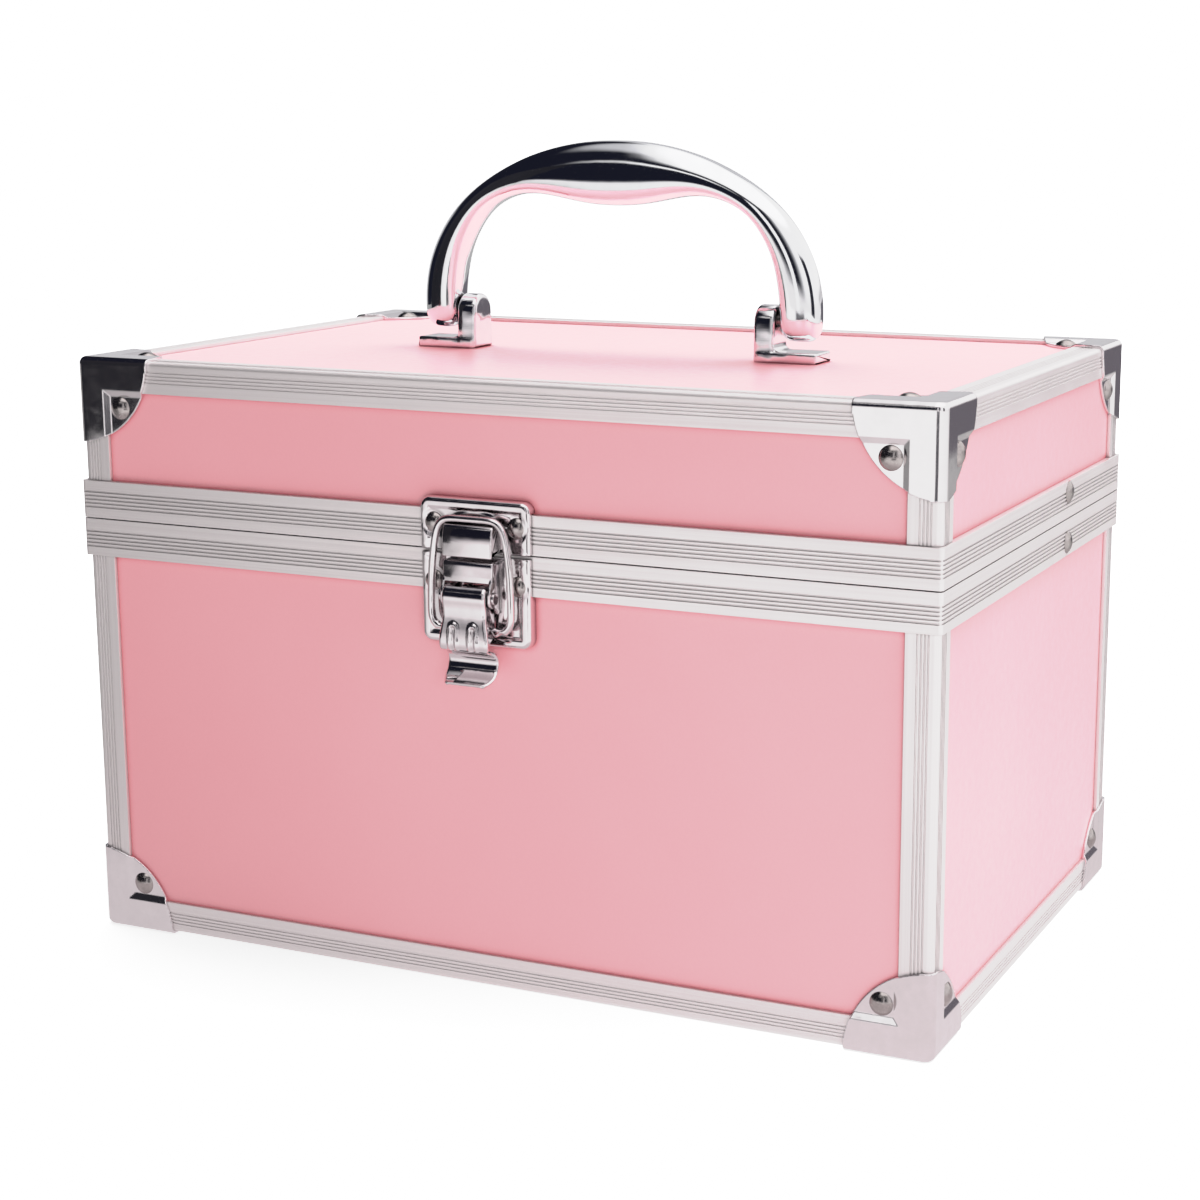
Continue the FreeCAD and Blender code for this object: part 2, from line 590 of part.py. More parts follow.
hl, hb, hp, hrl, hrb = [], [], [], [], []
for cx in (-HINGE_X, HINGE_X):
    hl.append(hinge_piece(cx, True))
    hb.append(hinge_piece(cx, False))
    hp.append(cyl("x", HINGE_PIN_R, cx - HINGE_L / 2 - 0.4, cx + HINGE_L / 2 + 0.4, HINGE_Y, HINGE_Z))
    for dx in (-21.0, 0.0, 21.0):
        hrl.append(hinge_rivet(cx + dx, 120.9))
        hrb.append(hinge_rivet(cx + dx, 107.45))
PARTS["hinge_leaves_lid"] = compound([a.cut(compound(hrl)) for a in hl])
PARTS["hinge_leaves_base"] = compound([a.cut(compound(hrb)) for a in hb])
PARTS["hinge_pins"] = compound(hp)
PARTS["hinge_rivets_lid"] = compound(hrl)
PARTS["hinge_rivets_base"] = compound(hrb)

# ------------------------------------------------------------------ tray linkage
AI, AO = 9.0, 10.5        # arm plate insets
LI, LO = 10.8, 12.3       # link plate insets


def yz_bar(x0, x1, p, q, w):
    (y0, z0), (y1, z1) = p, q
    L = math.hypot(y1 - y0, z1 - z0)
    ny, nz = -(z1 - z0) / L * w, (y1 - y0) / L * w
    s = prism_x([(y0 + ny, z0 + nz), (y1 + ny, z1 + nz), (y1 - ny, z1 - nz), (y0 - ny, z0 - nz)], x0, x1)
    return fuse(s, cyl("x", w, x0, x1, y0, z0), cyl("x", w, x0, x1, y1, z1))


Lp, Bp, Tp = (STAY_Y, STAY_ZL), (STAY_Y, STAY_ZB), (TRAY_T_Y, TRAY_T_Z)
arm_r = yz_bar(HX - AO, HX - AI, Bp, Tp, 3.8)
arm_r = arm_r.cut(cyl("x", 1.56, 100, 120, *Bp)).cut(cyl("x", 1.6, 100, 120, *Tp))
link_r = yz_bar(HX - LO, HX - LI, Lp, Tp, 3.8)
tabp = [(-33.0, 92.0), (-33.0, 113.6), (-27.0, 118.0), (6.0, 118.0), (12.0, 112.0), (12.0, 92.0)]
link_r = fuse(link_r, prism_x(tabp, HX - LO, HX - LI))
link_r = link_r.cut(cyl("x", 2.1, 100, 120, *Lp)).cut(cyl("x", 1.65, 100, 120, *Tp))
# tray pivot rivet, fixed in the arm
piv_r = fuse(cyl("x", 1.6, HX - LO - 0.3, HX - AI + 0.3, *Tp), cyl("x", 2.6, HX - LO - 1.0, HX - LO - 0.1, *Tp),
             cyl("x", 2.4, HX - AI, HX - AI + 0.6, *Tp), cyl("x", 2.6, HX - LI + 0.05, HX - AO, *Tp))
# rivets in the lid and in the base wall
def stay_rivet(y, z, depth, collar_to):
    return fuse(dome("x", 1, y, z, HX, 3.1, 1.25), cyl("x", 1.5, HX - depth, HX + 0.05, y, z),
                cyl("x", 2.6, HX - collar_to, HX - 7.8, y, z),
                cyl("x", 2.6, HX - depth - 0.8, HX - depth, y, z))


riv_L = stay_rivet(STAY_Y, STAY_ZL, LO + 0.1, LI - 0.1)
riv_B = stay_rivet(STAY_Y, STAY_ZB, AO + 0.1, AI - 0.1)
# the tray bracket rivets, flush in the bracket
tr_y = (-17.0, 6.0)
tray_riv_r = [fuse(cyl("x", 1.5, TRAY_HX - 2.2, HX - LI - 0.05, y, 97.0), cyl("x", 2.4, TRAY_HX - 2.4, TRAY_HX - 1.65, y, 97.0))
              for y in tr_y]
link_r = link_r.cut(compound(tray_riv_r))
PARTS["tray_arm_right"] = arm_r
PARTS["tray_arm_left"] = mirror_x(arm_r)
PARTS["tray_bracket_right"] = link_r
PARTS["tray_bracket_left"] = mirror_x(link_r)
PARTS["tray_pivot_rivets"] = compound([piv_r, mirror_x(piv_r)])
PARTS["stay_rivets_lid"] = compound([riv_L, mirror_x(riv_L)])
PARTS["stay_rivets_base"] = compound([riv_B, mirror_x(riv_B)])
PARTS["tray_rivets"] = compound(tray_riv_r + [mirror_x(s) for s in tray_riv_r])

# tray: a shallow open box with one long and three short compartments
tw = 1.6
tray = box(-TRAY_HX, TRAY_HX, TRAY_Y0, TRAY_Y1, TRAY_Z0, TRAY_Z1)
cells = []
ymid = -24.0
cells.append(box(-TRAY_HX + tw, TRAY_HX - tw, TRAY_Y0 + tw, ymid - tw / 2, TRAY_Z0 + tw, TRAY_Z1 + 1))
xs = [-TRAY_HX + tw, -36.0, 36.0, TRAY_HX - tw]
for i in range(3):
    a = xs[i] + (tw / 2 if i else 0)
    b = xs[i + 1] - (tw / 2 if i < 2 else 0)
    cells.append(box(a, b, ymid + tw / 2, TRAY_Y1 - tw, TRAY_Z0 + tw, TRAY_Z1 + 1))
tray = tray.cut(compound(cells)).cut(compound(tray_riv_r + [mirror_x(s) for s in tray_riv_r]))
PARTS["tray"] = tray

# ------------------------------------------------------------------ linings and mirror
LN = CORE + 0.15
base_lining = box(-HX + LN, HX - LN, -HY + LN, HY - LN, CORE + 0.1, 104.6).cut(
    box(-HX + LN + 1.2, HX - LN - 1.2, -HY + LN + 1.2, HY - LN - 1.2, CORE + 1.7, 110))
lid_lining = box(-HX + LN, HX - LN, -HY + LN, HY - LN, 117.2, H - CORE - 0.1).cut(
    box(-HX + LN + 1.2, HX - LN - 1.2, -HY + LN + 1.2, HY - LN - 1.2, 110, H - CORE - 1.4))
mirror = box(-84, 84, -54, 54, H - CORE - 1.4 - 3.0, H - CORE - 1.4)
mirror = mirror.makeFillet(6.0, [e for e in mirror.Edges if abs(e.Vertexes[0].Point.z - e.Vertexes[1].Point.z) > 1])
PARTS["lid_mirror"] = mirror

# ------------------------------------------------------------------ handle
def ell_poly(cx, cz, nx_, nz_, a, b, n=16, k=2.3):
    pts = []
    for i in range(n):
        t = 2 * math.pi * i / n
        c, s = math.cos(t), math.sin(t)
        rr = (abs(c) ** k + abs(s) ** k) ** (-1.0 / k)
        u, v = a * rr * c, b * rr * s
        pts.append(V(cx + nx_ * u, v, cz + nz_ * u))
    sp = Part.BSplineCurve()
    sp.interpolate(pts, PeriodicFlag=True)
    return Part.Wire([sp.toShape()])


stations = [  # outer point, inner point, half depth along Y
    ((59.4, 166.0), (48.1, 166.0), 5.4),
    ((59.3, 170.5), (48.0, 170.5), 5.5),
    ((58.4, 176.5), (47.5, 175.2), 5.6),
    ((55.6, 184.2), (46.2, 181.4), 5.7),
    ((50.2, 192.4), (43.2, 188.0), 5.9),
    ((43.6, 198.6), (38.9, 193.2), 6.1),
    ((34.4, 204.4), (31.0, 197.1), 6.5),
    ((26.3, 208.0), (23.6, 197.9), 6.9),
    ((18.6, 210.3), (16.4, 197.0), 7.1),
    ((9.6, 211.9), (8.4, 195.6), 7.2),
    ((0.0, 212.4), (0.0, 195.1), 7.2),
]
full = [(o, i, b) for o, i, b in stations] + [((-o[0], o[1]), (-i[0], i[1]), b) for o, i, b in reversed(stations[:-1])]
wires = []
for o, i, b in full:
    cx, cz = (o[0] + i[0]) / 2, (o[1] + i[1]) / 2
    dx, dz = o[0] - i[0], o[1] - i[1]
    L = math.hypot(dx, dz)
    wires.append(ell_poly(cx, cz, dx / L, dz / L, L / 2, b))
grip = Part.makeLoft(wires, True, False)
# rounded leg ends around the pivot pins
ends = []
for s in (-1, 1):
    c = s * 53.75
    e = wires[0 if s > 0 else -1]
    f = Part.Face(e)
    leg = f.extrude(V(0, 0, -5.6))
    rnd = cyl("x", 5.45, c - 8, c + 8, 0, 166.0)
    rnd2 = Part.makeSphere(8.2, V(c, 0, 166.0 + 2.6))
    ends.append(leg.common(fuse(rnd, box(c - 8, c + 8, -8, 8, 166.0, 170))).common(rnd2))
grip = grip.fuse(ends).removeSplitter()
PIN_R = 1.9
grip = grip.cut(compound([cyl("x", PIN_R + 0.05, 40, 55.0, 0, HANDLE_PIN_Z), cyl("x", PIN_R + 0.05, -55.0, -40, 0, HANDLE_PIN_Z)]))
PARTS["handle_grip"] = grip

EAR0, EAR1, FOOT1 = 41.7, 47.7, 59.8
top_z = H - PAN
ED = 5.2             # half depth of the brackets
ear_b = fuse(box(EAR0, EAR1, -ED, ED, top_z, 165.0), cyl("x", ED, EAR0, EAR1, 0, 165.0))
foot_b = box(EAR0, FOOT1, -ED, ED, top_z, top_z + 2.8)
bracket = fuse(ear_b, foot_b)
# cast look: soft edges and a fillet where the ear meets the foot
inner = [e for e in bracket.Edges if all(abs(v.Point.x - EAR1) < 1e-6 and abs(v.Point.z - top_z - 2.8) < 1e-6
                                         for v in e.Vertexes)]
bracket = bracket.makeFillet(1.6, inner)
soft = [e for e in bracket.Edges if min(v.Point.z for v in e.Vertexes) > top_z + 0.01
        and not all(abs(v.Point.x - EAR1) < 1.7 and v.Point.z < top_z + 4.5 for v in e.Vertexes)]
try:
    b2 = bracket.makeFillet(0.6, soft)
    if not b2.isValid() or len(b2.Solids) != 1:
        raise ValueError("bracket fillet")
    bracket = b2
except Exception as ex:
    print("BAD bracket fillet", ex)
stud = [cyl("z", 1.5, top_z - PANEL_T - 0.6, top_z + 0.5, x, 0) for x in (45.0, 55.5)]
stud += [cyl("z", 2.6, top_z - PANEL_T - 0.6, top_z - PANEL_T, x, 0) for x in (45.0, 55.5)]
bracket = fuse(bracket, *stud)
bracket = bracket.cut(cyl("x", PIN_R, 40, 60, 0, HANDLE_PIN_Z))
pin_h = fuse(cyl("x", PIN_R, EAR0 - 0.1, 54.6, 0, HANDLE_PIN_Z), dome("x", -1, 0, HANDLE_PIN_Z, EAR0 - 0.05, 2.7, 1.0))
PARTS["handle_bracket_right"] = bracket
PARTS["handle_bracket_left"] = mirror_x(bracket)
PARTS["handle_pins"] = compound([pin_h, mirror_x(pin_h)])

# ------------------------------------------------------------------ clearance holes for everything that passes through
thru_base = compound(b_riv + hrb + [riv_B, mirror_x(riv_B)] + g_riv_base)
thru_lid = compound(k_riv + hrl + [riv_L, mirror_x(riv_L)] + g_riv_lid + stud + [mirror_x(s) for s in stud])
for n, s in list(panels.items()):
    PARTS[n] = s.cut(thru_base if n.startswith("base") else thru_lid)
PARTS["base_rim"] = base_rim.cut(thru_base)
PARTS["lid_rim"] = lid_rim.cut(thru_lid)
PARTS["base_lining"] = base_lining.cut(thru_base)
PARTS["lid_lining"] = lid_lining.cut(thru_lid)
PARTS["latch_keeper"] = keeper
PARTS["latch_keeper_rivets"] = compound(k_riv)
PARTS["latch_base_plate"] = latch_base
PARTS["latch_base_rivets"] = compound(b_riv)
PARTS["latch_lever"] = lever
PARTS["latch_pin"] = latch_pin
PARTS["latch_bail"] = bail
# ------------------------------------------------------------------ write the pieces
bb = FreeCAD.BoundBox()
for n in sorted(PARTS):
    s = PARTS[n]
    if s.isNull() or not s.isValid() or not s.Solids:
        print("BAD", n, s.isNull(), s.isValid() if not s.isNull() else None)
    bb.add(s.BoundBox)
print("bodies", len(PARTS), "box", bb)
print("centre y", (bb.YMin + bb.YMax) / 2)
for n in sorted(PARTS):
    s = PARTS[n].copy()
    s.translate(V(0, SHIFT_Y, 0))
    if len(s.Solids) == 1 and s.ShapeType == "Compound":
        s = s.Solids[0]
    s.exportStep("parts/%s.step" % n)
    print("%-28s solids %2d vol %9.1f" % (n, len(s.Solids), s.Volume))
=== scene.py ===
import bpy
import bmesh
import math
import random
from mathutils import Vector, Matrix


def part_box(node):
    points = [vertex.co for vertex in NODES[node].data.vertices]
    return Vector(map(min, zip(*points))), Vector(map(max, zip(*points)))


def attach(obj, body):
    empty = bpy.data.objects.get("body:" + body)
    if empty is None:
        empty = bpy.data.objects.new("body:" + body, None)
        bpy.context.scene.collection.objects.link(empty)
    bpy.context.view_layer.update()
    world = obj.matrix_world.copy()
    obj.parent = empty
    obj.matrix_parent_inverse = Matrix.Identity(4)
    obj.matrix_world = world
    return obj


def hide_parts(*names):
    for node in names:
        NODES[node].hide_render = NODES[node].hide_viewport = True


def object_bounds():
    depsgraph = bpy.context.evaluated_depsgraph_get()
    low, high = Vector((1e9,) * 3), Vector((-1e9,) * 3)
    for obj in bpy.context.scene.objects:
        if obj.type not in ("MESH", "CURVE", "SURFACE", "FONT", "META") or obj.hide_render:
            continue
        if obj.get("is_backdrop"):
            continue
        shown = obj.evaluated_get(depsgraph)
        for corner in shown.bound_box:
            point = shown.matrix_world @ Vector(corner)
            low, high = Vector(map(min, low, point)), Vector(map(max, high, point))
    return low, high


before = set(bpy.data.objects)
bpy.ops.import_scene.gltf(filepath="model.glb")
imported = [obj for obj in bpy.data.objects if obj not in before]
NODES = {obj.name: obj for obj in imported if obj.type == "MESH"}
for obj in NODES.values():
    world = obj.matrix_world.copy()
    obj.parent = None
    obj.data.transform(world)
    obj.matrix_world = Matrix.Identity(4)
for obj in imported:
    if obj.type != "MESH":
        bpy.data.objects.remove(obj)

MM = 0.001
DY = 1.325                      # the case's centre plane in Y, millimetres
HX, HY, H = 120.0, 80.0, 157.0  # half width, half depth, height of the case body
scene = bpy.context.scene
random.seed(7)


def plain(b):
    out = []
    for v in b:
        try:
            out.append([float(c) for c in v])
        except TypeError:
            out.append(float(v))
    return out


BOX0 = plain(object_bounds())

# ------------------------------------------------------------------ node helpers
class Mat:
    def __init__(self, name):
        self.m = bpy.data.materials.new(name)
        self.m.use_nodes = True
        self.t = self.m.node_tree
        for n in list(self.t.nodes):
            self.t.nodes.remove(n)
        self.out = self.t.nodes.new("ShaderNodeOutputMaterial")
        self.p = self.t.nodes.new("ShaderNodeBsdfPrincipled")
        self.t.links.new(self.p.outputs[0], self.out.inputs[0])
        self.co = self.t.nodes.new("ShaderNodeTexCoord").outputs["Object"]

    def n(self, kind, **kw):
        nd = self.t.nodes.new(kind)
        for k, v in kw.items():
            if k.startswith("i_"):
                nd.inputs[k[2:].replace("_", " ")].default_value = v
            else:
                setattr(nd, k, v)
        return nd

    def link(self, a, b):
        self.t.links.new(a, b)

    def mapping(self, scale, rot=(0, 0, 0)):
        mp = self.n("ShaderNodeMapping")
        mp.inputs["Scale"].default_value = scale
        mp.inputs["Rotation"].default_value = rot
        self.link(self.co, mp.inputs["Vector"])
        return mp.outputs[0]

    def noise(self, vec, scale, detail=3.0, rough=0.5, dist=0.0):
        nz = self.n("ShaderNodeTexNoise")
        nz.inputs["Scale"].default_value = scale
        nz.inputs["Detail"].default_value = detail
        nz.inputs["Roughness"].default_value = rough
        nz.inputs["Distortion"].default_value = dist
        self.link(vec, nz.inputs["Vector"])
        return nz.outputs["Fac"]

    def voronoi(self, vec, scale, feature="F1", out="Distance", smooth=None, rand=1.0):
        v = self.n("ShaderNodeTexVoronoi", feature=feature)
        v.inputs["Scale"].default_value = scale
        v.inputs["Randomness"].default_value = rand
        if smooth is not None and "Smoothness" in v.inputs:
            v.inputs["Smoothness"].default_value = smooth
        self.link(vec, v.inputs["Vector"])
        return v.outputs[out]

    def ramp(self, fac, lo, hi, a, b):
        r = self.n("ShaderNodeMapRange")
        r.inputs["From Min"].default_value = lo
        r.inputs["From Max"].default_value = hi
        r.inputs["To Min"].default_value = a
        r.inputs["To Max"].default_value = b
        self.link(fac, r.inputs["Value"])
        return r.outputs[0]

    def mixc(self, fac, c1, c2):
        mx = self.n("ShaderNodeMix", data_type="RGBA")
        mx.inputs[6].default_value = (*c1, 1) if not hasattr(c1, "is_linked") else (0, 0, 0, 1)
        mx.inputs[7].default_value = (*c2, 1) if not hasattr(c2, "is_linked") else (0, 0, 0, 1)
        if hasattr(c1, "is_linked"):
            self.link(c1, mx.inputs[6])
        if hasattr(c2, "is_linked"):
            self.link(c2, mx.inputs[7])
        if hasattr(fac, "is_linked"):
            self.link(fac, mx.inputs[0])
        else:
            mx.inputs[0].default_value = fac
        return mx.outputs[2]

    def math(self, op, a, b=None):
        md = self.n("ShaderNodeMath", operation=op)
        for i, v in enumerate((a, b)):
            if v is None:
                continue
            if hasattr(v, "is_linked"):
                self.link(v, md.inputs[i])
            else:
                md.inputs[i].default_value = v
        return md.outputs[0]

    def bump(self, height, strength, dist, normal=None):
        b = self.n("ShaderNodeBump")
        b.inputs["Strength"].default_value = strength
        b.inputs["Distance"].default_value = dist
        self.link(height, b.inputs["Height"])
        if normal is not None:
            self.link(normal, b.inputs["Normal"])
        return b.outputs[0]

    def bevel(self, radius, samples=4):
        b = self.n("ShaderNodeBevel", samples=samples)
        b.inputs["Radius"].default_value = radius
        return b.outputs[0]

    def crevice(self, dist, lo, hi):
        # 1 in the open, 0 deep in a corner between parts; the materials paint shade with it
        a = self.n("ShaderNodeAmbientOcclusion", samples=6)
        a.inputs["Distance"].default_value = dist
        return self.ramp(a.outputs["AO"], lo, hi, 0.0, 1.0)

    def set(self, **kw):
        for k, v in kw.items():
            s = self.p.inputs[k.replace("_", " ")]
            if hasattr(v, "is_linked"):
                self.link(v, s)
            else:
                s.default_value = v
        return self


def pebble_skin(name, col_a, col_b, rough=(0.30, 0.40), grain=1.0):
    # coated skin with a fine pebble grain and painted shade along the trims
    m = Mat(name)
    v = m.mapping((1, 1, 1))
    big = m.noise(v, 14.0, 3.0, 0.55)
    mid = m.noise(v, 420.0, 3.0, 0.6)
    cell = m.voronoi(v, 1500.0, "SMOOTH_F1", smooth=0.45)
    cell2 = m.voronoi(v, 3100.0, "F1")
    h = m.math("ADD", m.math("MULTIPLY", cell, 1.0), m.math("MULTIPLY", cell2, 0.4))
    h = m.math("ADD", h, m.math("MULTIPLY", mid, 0.8))
    col = m.mixc(m.ramp(big, 0.3, 0.7, 0, 1), col_a, col_b)
    pits = m.ramp(cell, 0.15, 0.75, 0.0, 0.10)
    col = m.mixc(pits, col, tuple(c * 0.80 for c in col_a))
    # painted shade: a deeper red close to the trims and in corners, from an ambient occlusion mask
    col = m.mixc(m.crevice(2.0 * MM, 0.48, 0.88), (col_a[0] * 0.68, col_a[1] * 0.38, col_a[2] * 0.41), col)
    nb = m.bevel(0.25 * MM)
    m.set(Base_Color=col, Roughness=m.ramp(mid, 0.3, 0.7, rough[0], rough[1]), Metallic=0.0,
          Normal=m.bump(h, 0.10 * grain, 0.12 * MM, nb))
    m.p.inputs["IOR"].default_value = 1.5
    m.p.inputs["Specular IOR Level"].default_value = 0.72
    return m.m


def brushed(name, col, rough=0.34, along=("x", "y"), tint=0.06, metallic=0.62, shade=0.45):
    # satin extrusion, drawn along its length: streaks vary only across it; painted shade in its corners
    m = Mat(name)
    sc = [2500.0, 2500.0, 2500.0]
    for a in along:
        sc["xyz".index(a)] = 6.0
    v = m.mapping(tuple(sc))
    st = m.noise(v, 1.0, 2.0, 0.6)
    w = m.noise(m.mapping((1, 1, 1)), 60.0, 4.0, 0.6)
    fine = m.noise(m.mapping((1, 1, 1)), 3000.0, 2.0, 0.5)
    c2 = tuple(max(0.0, c - tint) for c in col)
    colr = m.mixc(m.ramp(st, 0.3, 0.7, 0, 1), col, c2)
    # painted shade: darker in the corners and grooves between parts, from an ambient occlusion mask; shade sets how
    # dark
    colr = m.mixc(m.crevice(1.2 * MM, 0.35, 0.75), tuple(c * shade for c in col), colr)
    r = m.math("ADD", m.ramp(st, 0.3, 0.7, rough - 0.05, rough + 0.06), m.ramp(w, 0.3, 0.7, -0.03, 0.03))
    hh = m.math("ADD", m.math("MULTIPLY", st, 0.8), m.math("MULTIPLY", fine, 0.2))
    m.set(Base_Color=colr, Metallic=metallic, Roughness=r, Normal=m.bump(hh, 0.10, 0.05 * MM, m.bevel(0.22 * MM)))
    return m.m


def chrome(name, col=(0.86, 0.86, 0.88), rough=0.05, wave=1.0, bev=0.35, corner_shade=0.0):
    # bright plating over a pressed part: slow waviness, faint haze and hairline scratches, and optional painted shade
    # in its corners
    m = Mat(name)
    v = m.mapping((1, 1, 1))
    slow = m.noise(v, 90.0, 2.0, 0.5)
    haze = m.noise(v, 240.0, 4.0, 0.6)
    scr = m.noise(m.mapping((300.0, 2600.0, 2600.0), (0.3, 0.5, 0.9)), 1.0, 2.0, 0.7)
    r = m.math("ADD", m.ramp(haze, 0.35, 0.75, rough, rough + 0.06), m.ramp(scr, 0.60, 0.80, 0.0, 0.06))
    hh = m.math("ADD", m.math("MULTIPLY", slow, 1.0), m.math("MULTIPLY", scr, 0.006))
    base = m.mixc(m.ramp(haze, 0.3, 0.8, 0, 1), col, tuple(c * 0.93 for c in col))
    # painted shade: the plating turns near black in corners and crevices, from an ambient occlusion mask of the given
    # width in millimetres
    if corner_shade:
        base = m.mixc(m.crevice(corner_shade * MM, 0.30, 0.78), (0.10, 0.085, 0.09), base)
    m.set(Base_Color=base, Metallic=1.0, Roughness=r,
          Normal=m.bump(hh, 0.25 * wave, 0.5 * MM, m.bevel(bev * MM, 6)))
    return m.m


def nickel(name, col=(0.50, 0.45, 0.44), rough=0.18):
    m = Mat(name)
    v = m.mapping((1, 1, 1))
    a = m.noise(v, 500.0, 4.0, 0.6)
    b = m.noise(v, 2500.0, 3.0, 0.6)
    m.set(Base_Color=m.mixc(m.ramp(a, 0.3, 0.7, 0, 1), col, tuple(c * 0.72 for c in col)), Metallic=1.0,
          Roughness=m.ramp(b, 0.3, 0.7, rough - 0.05, rough + 0.10), Normal=m.bump(b, 0.12, 0.06 * MM, m.bevel(0.2 * MM)))
    return m.m


def flock(name, col, lift=1.6):
    m = Mat(name)
    v = m.mapping((1, 1, 1))
    a = m.noise(v, 2600.0, 3.0, 0.7)
    b = m.noise(v, 35.0, 4.0, 0.6)
    colr = m.mixc(m.ramp(a, 0.3, 0.75, 0, 1), tuple(c * 0.6 for c in col), tuple(min(1, c * lift) for c in col))
    colr = m.mixc(m.ramp(b, 0.35, 0.7, 0.0, 0.35), colr, tuple(c * 0.7 for c in col))
    m.set(Base_Color=colr, Roughness=0.95, Normal=m.bump(a, 0.5, 0.35 * MM))
    m.p.inputs["Sheen Weight"].default_value = 0.5
    m.p.inputs["Sheen Roughness"].default_value = 0.4
    m.p.inputs["Sheen Tint"].default_value = (1, 0.95, 0.96, 1)
    return m.m


def mirror_glass(name):
    m = Mat(name)
    v = m.mapping((1, 1, 1))
    a = m.noise(v, 30.0, 3.0, 0.6)
    m.set(Base_Color=m.mixc(m.ramp(a, 0.3, 0.7, 0, 1), (0.86, 0.89, 0.90), (0.80, 0.84, 0.86)), Metallic=1.0,
          Roughness=m.ramp(a, 0.4, 0.8, 0.01, 0.04), Normal=m.bevel(0.8 * MM))
    return m.m


PINK_A = (0.870, 0.360, 0.400)
PINK_B = (0.845, 0.342, 0.382)
M_PINK = pebble_skin("pink_skin", PINK_A, PINK_B)
ALU = (0.825, 0.762, 0.766)
M_ALU_H = brushed("satin_aluminium_horizontal", ALU, 0.36, ("x", "y"))
M_ALU_E = brushed("satin_aluminium_edge", ALU, 0.36, ("x", "y"), shade=0.74)
M_ALU_V = brushed("satin_aluminium_vertical", ALU, 0.36, ("z",))
M_CHROME = chrome("chrome_plate", (0.76, 0.70, 0.715), 0.07, 1.3, 0.3, 2.2)
M_CHROME_G = chrome("chrome_guard", (0.855, 0.81, 0.825), 0.06, 0.8, 0.5)
M_CHROME_H = chrome("chrome_handle", (0.88, 0.88, 0.90), 0.03, 0.5, 0.4)
M_CAST = chrome("chrome_cast", (0.82, 0.79, 0.81), 0.05, 4.0, 0.7, 1.6)
M_NICKEL = nickel("nickel_rivet")
M_STEEL = brushed("plated_steel", (0.62, 0.62, 0.64), 0.28, ("x",), 0.05)
M_FLOCK = flock("lining_flock", (0.055, 0.050, 0.054))
M_TRAY = flock("tray_flock", (0.060, 0.055, 0.058))
M_MIRROR = mirror_glass("mirror_glass")


def assign(obj, mat):
    obj.data.materials.clear()
    obj.data.materials.append(mat)


def node_mat(n):
    if "_panel_" in n:
        return M_PINK
    if n.endswith("_posts"):
        return M_ALU_V
    if "_edge" in n:
        return M_ALU_E
    if n.endswith("_rim"):
        return M_ALU_H
    if "rivet" in n:
        return M_NICKEL
    if "guard" in n:
        return M_CHROME_G
    if n.startswith("handle_bracket"):
        return M_CAST
    if n.startswith("handle"):
        return M_CHROME_H
    if n.startswith("latch"):
        return M_CHROME
    if n.startswith("hinge") or n.startswith("tray_"):
        return M_STEEL
    if "lining" in n:
        return M_FLOCK
    if n == "tray":
        return M_TRAY
    if n == "lid_mirror":
        return M_MIRROR
    return M_ALU_H


for name, ob in NODES.items():
    for i in range(max(1, len(ob.material_slots))):
        if ob.material_slots:
            ob.material_slots[i].material = node_mat(name)
        else:
            ob.data.materials.append(node_mat(name))

# ------------------------------------------------------------------ mesh helpers
def make(name, verts, faces, body, mat, replaces=(), smooth=True):
    me = bpy.data.meshes.new(name)
    me.from_pydata([Vector(v) for v in verts], [], faces)
    bm = bmesh.new()
    bm.from_mesh(me)
    bmesh.ops.recalc_face_normals(bm, faces=bm.faces)
    bm.to_mesh(me)
    bm.free()
    if smooth:
        for p in me.polygons:
            p.use_smooth = True
    me.materials.append(mat)
    o = bpy.data.objects.new(name, me)
    scene.collection.objects.link(o)
    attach(o, body)
    if replaces:
        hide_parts(*replaces)
    return o


def smoothstep(t):
    t = max(0.0, min(1.0, t))
    return t * t * (3 - 2 * t)


def wob(x, y, z, f, seed=0.0):
    # slow, repeatable waviness between -1 and 1
    return (math.sin(x * f + seed) * math.cos(y * f * 1.31 + seed * 2.1) + math.sin((y + z) * f * 0.73 + seed * 1.7)
            * math.cos((x - z) * f * 0.91 + seed)) * 0.5


def loft(rings, close_start=True, close_end=True):
    # rings of equal length, closed around; ends are closed by a face
    n = len(rings[0])
    verts = [v for r in rings for v in r]
    faces = []
    for i in range(len(rings) - 1):
        for j in range(n):
            k = (j + 1) % n
            faces.append((i * n + j, i * n + k, (i + 1) * n + k, (i + 1) * n + j))
    if close_start:
        faces.append(tuple(reversed(range(n))))
    if close_end:
        faces.append(tuple(range((len(rings) - 1) * n, len(rings) * n)))
    return verts, faces


def round_rect(hx, hy, r, n_c=6, n_x=26, n_y=18):
    # points of a rounded rectangle, counter-clockwise, metres not applied
    r = max(0.05, min(r, hx, hy))
    pts = []
    for (cx, cy, a0) in ((hx - r, -hy + r, -90), (hx - r, hy - r, 0), (-hx + r, hy - r, 90), (-hx + r, -hy + r, 180)):
        for i in range(n_c + 1):
            a = math.radians(a0 + 90.0 * i / n_c)
            pts.append((cx + r * math.cos(a), cy + r * math.sin(a)))
        nxt = {-90: (hx, hy - r), 0: (-hx + r, hy), 90: (-hx, -hy + r), 180: (hx - r, -hy)}[a0]
        last = pts[-1]
        m = n_y if a0 in (-90, 90) else n_x
        for i in range(1, m):
            t = i / m
            pts.append((last[0] + (nxt[0] - last[0]) * t, last[1] + (nxt[1] - last[1]) * t))
    return pts


